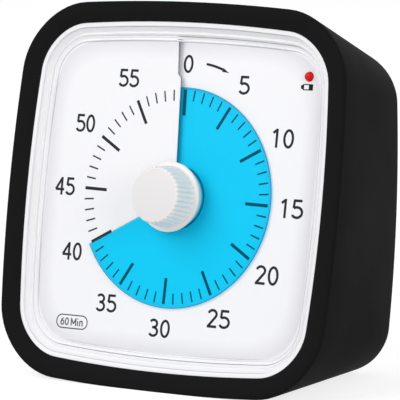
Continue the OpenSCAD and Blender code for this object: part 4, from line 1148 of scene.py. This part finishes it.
# %% The hour sign
SIGN_LEFT, SIGN_LOW, SIGN_W, SIGN_H, SIGN_CORNER, FRAME_STROKE = -26.1, -28.2, 7.5, 2.7, 1.3, 0.23
TEXT_H, THIN = 1.6, 0.24
bm = bmesh.new()
frame_path = []
for x, y, start in ((SIGN_W - SIGN_CORNER, SIGN_H - SIGN_CORNER, 90),
                    (SIGN_W - SIGN_CORNER, SIGN_CORNER, 0), (SIGN_CORNER, SIGN_CORNER, -90),
                    (SIGN_CORNER, SIGN_H - SIGN_CORNER, -180)):
    frame_path += arc(SIGN_LEFT + x, SIGN_LOW + y, SIGN_CORNER, SIGN_CORNER, start, start - 90, 8)
stroke(bm, frame_path, FRAME_STROKE, closed=True)
text_x, text_y = SIGN_LEFT + SIGN_W / 2, SIGN_LOW + SIGN_H / 2
half_h = (TEXT_H - THIN) / 2
base, cap = -half_h - 0.1, half_h + 0.1


def letter(x, *paths, closed=False):
    """Draw thin strokes round a point on the sign's line."""
    for path in paths:
        stroke(bm, [(text_x + x + px, text_y + py) for px, py in path], THIN, closed)


letter(-2.35, arc(0, -half_h + 0.42, 0.36, 0.42, 0, 360, 24),
       [(0.22, half_h), (-0.16, 0.35), (-0.35, -0.2)])
letter(-1.25, arc(0, 0, 0.37, half_h, 0, 360, 28)[:-1], closed=True)
letter(0.4, [(-0.55, base), (-0.55, cap)], [(0.55, base), (0.55, cap)],
       [(-0.55, half_h), (0, -half_h * 0.6)], [(0, -half_h * 0.6), (0.55, half_h)])
letter(1.42, [(0, base), (0, 0.25)], [(0, half_h - 0.12), (0, cap)])
letter(2.25, [(-0.3, base), (-0.3, 0.3)],
       [(-0.3, -0.05)] + arc(0, 0, 0.3, 0.27, 150, 0, 10) + [(0.3, base)])
print_on_dial("hour_sign", bm, grey_ink)

# %% [markdown]
# ## The battery sign
# Below the light sits the plain sign of a battery: a frame, a tapered tip on its left and
# a filled end on its right, like the charge that is left in the cell.

# %% The battery sign
CELL_X, CELL_Y, CELL_H, CELL_W, CELL_FILL = 27.1, 23.6, 1.05, 2.05, 1.2
TIP_W, TIP_H, NECK_H, CELL_STROKE = 0.6, 0.32, 0.5, 0.2
low, high = CELL_Y - CELL_H / 2, CELL_Y + CELL_H / 2
left, filled, end = CELL_X, CELL_X + CELL_FILL, CELL_X + CELL_W
bm = bmesh.new()
patch(bm, [(left - TIP_W, CELL_Y + TIP_H), (left, CELL_Y + NECK_H), (left, CELL_Y - NECK_H),
           (left - TIP_W, CELL_Y - TIP_H)])
stroke(bm, [(left, low), (end, low), (end, high), (left, high)], CELL_STROKE, closed=True)
patch(bm, [(filled, low), (end, low), (end, high), (filled, high)])
print_on_dial("battery_sign", bm, black_ink)

# %% [markdown]
# ## The light
# A small red dome looks through the dial in the upper right corner. It is a turned lens
# on a wider foot, which keeps it from falling out through its hole, so the same helper
# that spun the flange can spin it.

# %% The light
LENS_SIDES, LENS_NECK, DOME_H, FOOT_DROP, FOOT_T = 40, 0.35, 0.55, 1, 0.2
light_r, base_r = LIGHT_D / 2, LIGHT_BASE_D / 2
foot_z, ledge_z = floor_back - FOOT_DROP, floor_z - FOOT_T
dome_z = dial_top(LIGHT_X, LIGHT_Y) + LENS_NECK
dome = [(light_r * cos(radians(t)), dome_z + DOME_H * sin(radians(t)))
        for t in range(0, 90, ROLL_STEP)]
bm = bmesh.new()
turned(bm, [(0, foot_z), (base_r, foot_z), (base_r, ledge_z), (light_r, ledge_z)] + dome
       + [(0, dome_z + DOME_H)], LENS_SIDES)
bm.transform(Matrix.Translation((LIGHT_X, LIGHT_Y, 0)))
lens = place("lens", bm, lamp_red)
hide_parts("indicator_light")

# %% [markdown]
# ## The floor
# The floor is white and keeps a soft shadow. What the camera sees of it is half lit by
# the lamps and half shining by itself, so that the shadow stays faint, while the timer is
# lit by a plain pale floor. Light Path tells the two apart. It says what kind of ray
# meets the floor, and reflections and glass count as seen.

# %% The floor
FLOOR_HALF, FLOOR_LIT, FLOOR_SEEN, FLOOR_GLOW = 6, (0.8, 0.8, 0.8, 1), (0.45, 0.45, 0.45, 1), 0.78


def seen(box):
    """1 for rays from the camera, and for reflections and glass, and 0 for plain light."""
    path = box.add("LightPath")
    camera_ray, *others = (path.outputs[f"Is {kind} Ray"]
                           for kind in ("Camera", "Glossy", "Transmission"))
    for other in others:
        camera_ray = box.maths("MAXIMUM", camera_ray, other)
    return camera_ray


bm = bmesh.new()
bmesh.ops.create_grid(bm, x_segments=1, y_segments=1, size=FLOOR_HALF)
floor = bpy.data.objects.new("floor", to_mesh("floor", bm))
bpy.context.scene.collection.objects.link(floor)
floor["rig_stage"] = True
paper = bpy.data.materials.new("paper")
paper.use_nodes = True
box = NodeBox(paper.node_tree)
box.nodes.remove(box.nodes["Principled BSDF"])
lit, shown, glow = (box.add(kind) for kind in ("BsdfDiffuse", "BsdfDiffuse", "Emission"))
lit.inputs["Color"].default_value, shown.inputs["Color"].default_value = FLOOR_LIT, FLOOR_SEEN
glow.inputs["Strength"].default_value = FLOOR_GLOW
both, chosen = box.add("AddShader"), box.add("MixShader")
for node, sources in ((both, (shown.outputs[0], glow.outputs[0])),
                      (chosen, (seen(box), lit.outputs[0], both.outputs[0]))):
    for socket, source in zip(node.inputs, sources):
        box.feed(socket, source)
box.feed(box.nodes["Material Output"].inputs["Surface"], chosen.outputs[0])
floor.data.materials.append(paper)
print("the floor glows at", FLOOR_GLOW)

# %% [markdown]
# ## The sky
# The sky is plain white where the camera or a reflection sees it. As a light it is less
# than half as strong, and it comes evenly from all sides, so that no white plastic is
# washed out and every colour looks about as it was written.

# %% The sky
SKY = 0.42
world = bpy.data.worlds.new("sky")
bpy.context.scene.world = world
world.use_nodes = True
box = NodeBox(world.node_tree)
background = box.nodes["Background"]
background.inputs["Color"].default_value = (1, 1, 1, 1)
box.feed(background.inputs["Strength"], box.spread(seen(box), SKY, 1.0, 0, 1))
bpy.context.scene.view_settings.view_transform = "Standard"
print("the sky lights the timer at", SKY)

# %% [markdown]
# ## The lamps
# One large soft lamp stands up and to the left, in front of the face, and gives the knob
# its soft shadow to the lower right. A smaller and weaker one on the right fills the
# shadows in the rim and lifts the dark side of the sleeve a little.

# %% The lamps
AIM = Vector((0, 0, 0.04))
LAMPS = {"key": ((-0.4, -0.75, 0.65), 0.8, 5.5), "fill": ((0.8, -0.35, 0.3), 0.5, 2.0)}
for name, (spot, size, power) in LAMPS.items():
    data = bpy.data.lights.new(name, "AREA")
    data.size, data.energy = size, power
    lamp = bpy.data.objects.new(name, data)
    bpy.context.scene.collection.objects.link(lamp)
    lamp.location = spot
    lamp.rotation_euler = (AIM - Vector(spot)).to_track_quat("-Z", "Y").to_euler()
    print(name, "lamp,", power, "W and", size, "m wide")

# %% Measure and finish
import json

boxes = {"cad": [list(c) for c in cad_box], "dressed": [list(c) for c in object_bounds()]}
for name, corners in boxes.items():
    print(name, [[round(v, 5) for v in corner] for corner in corners])
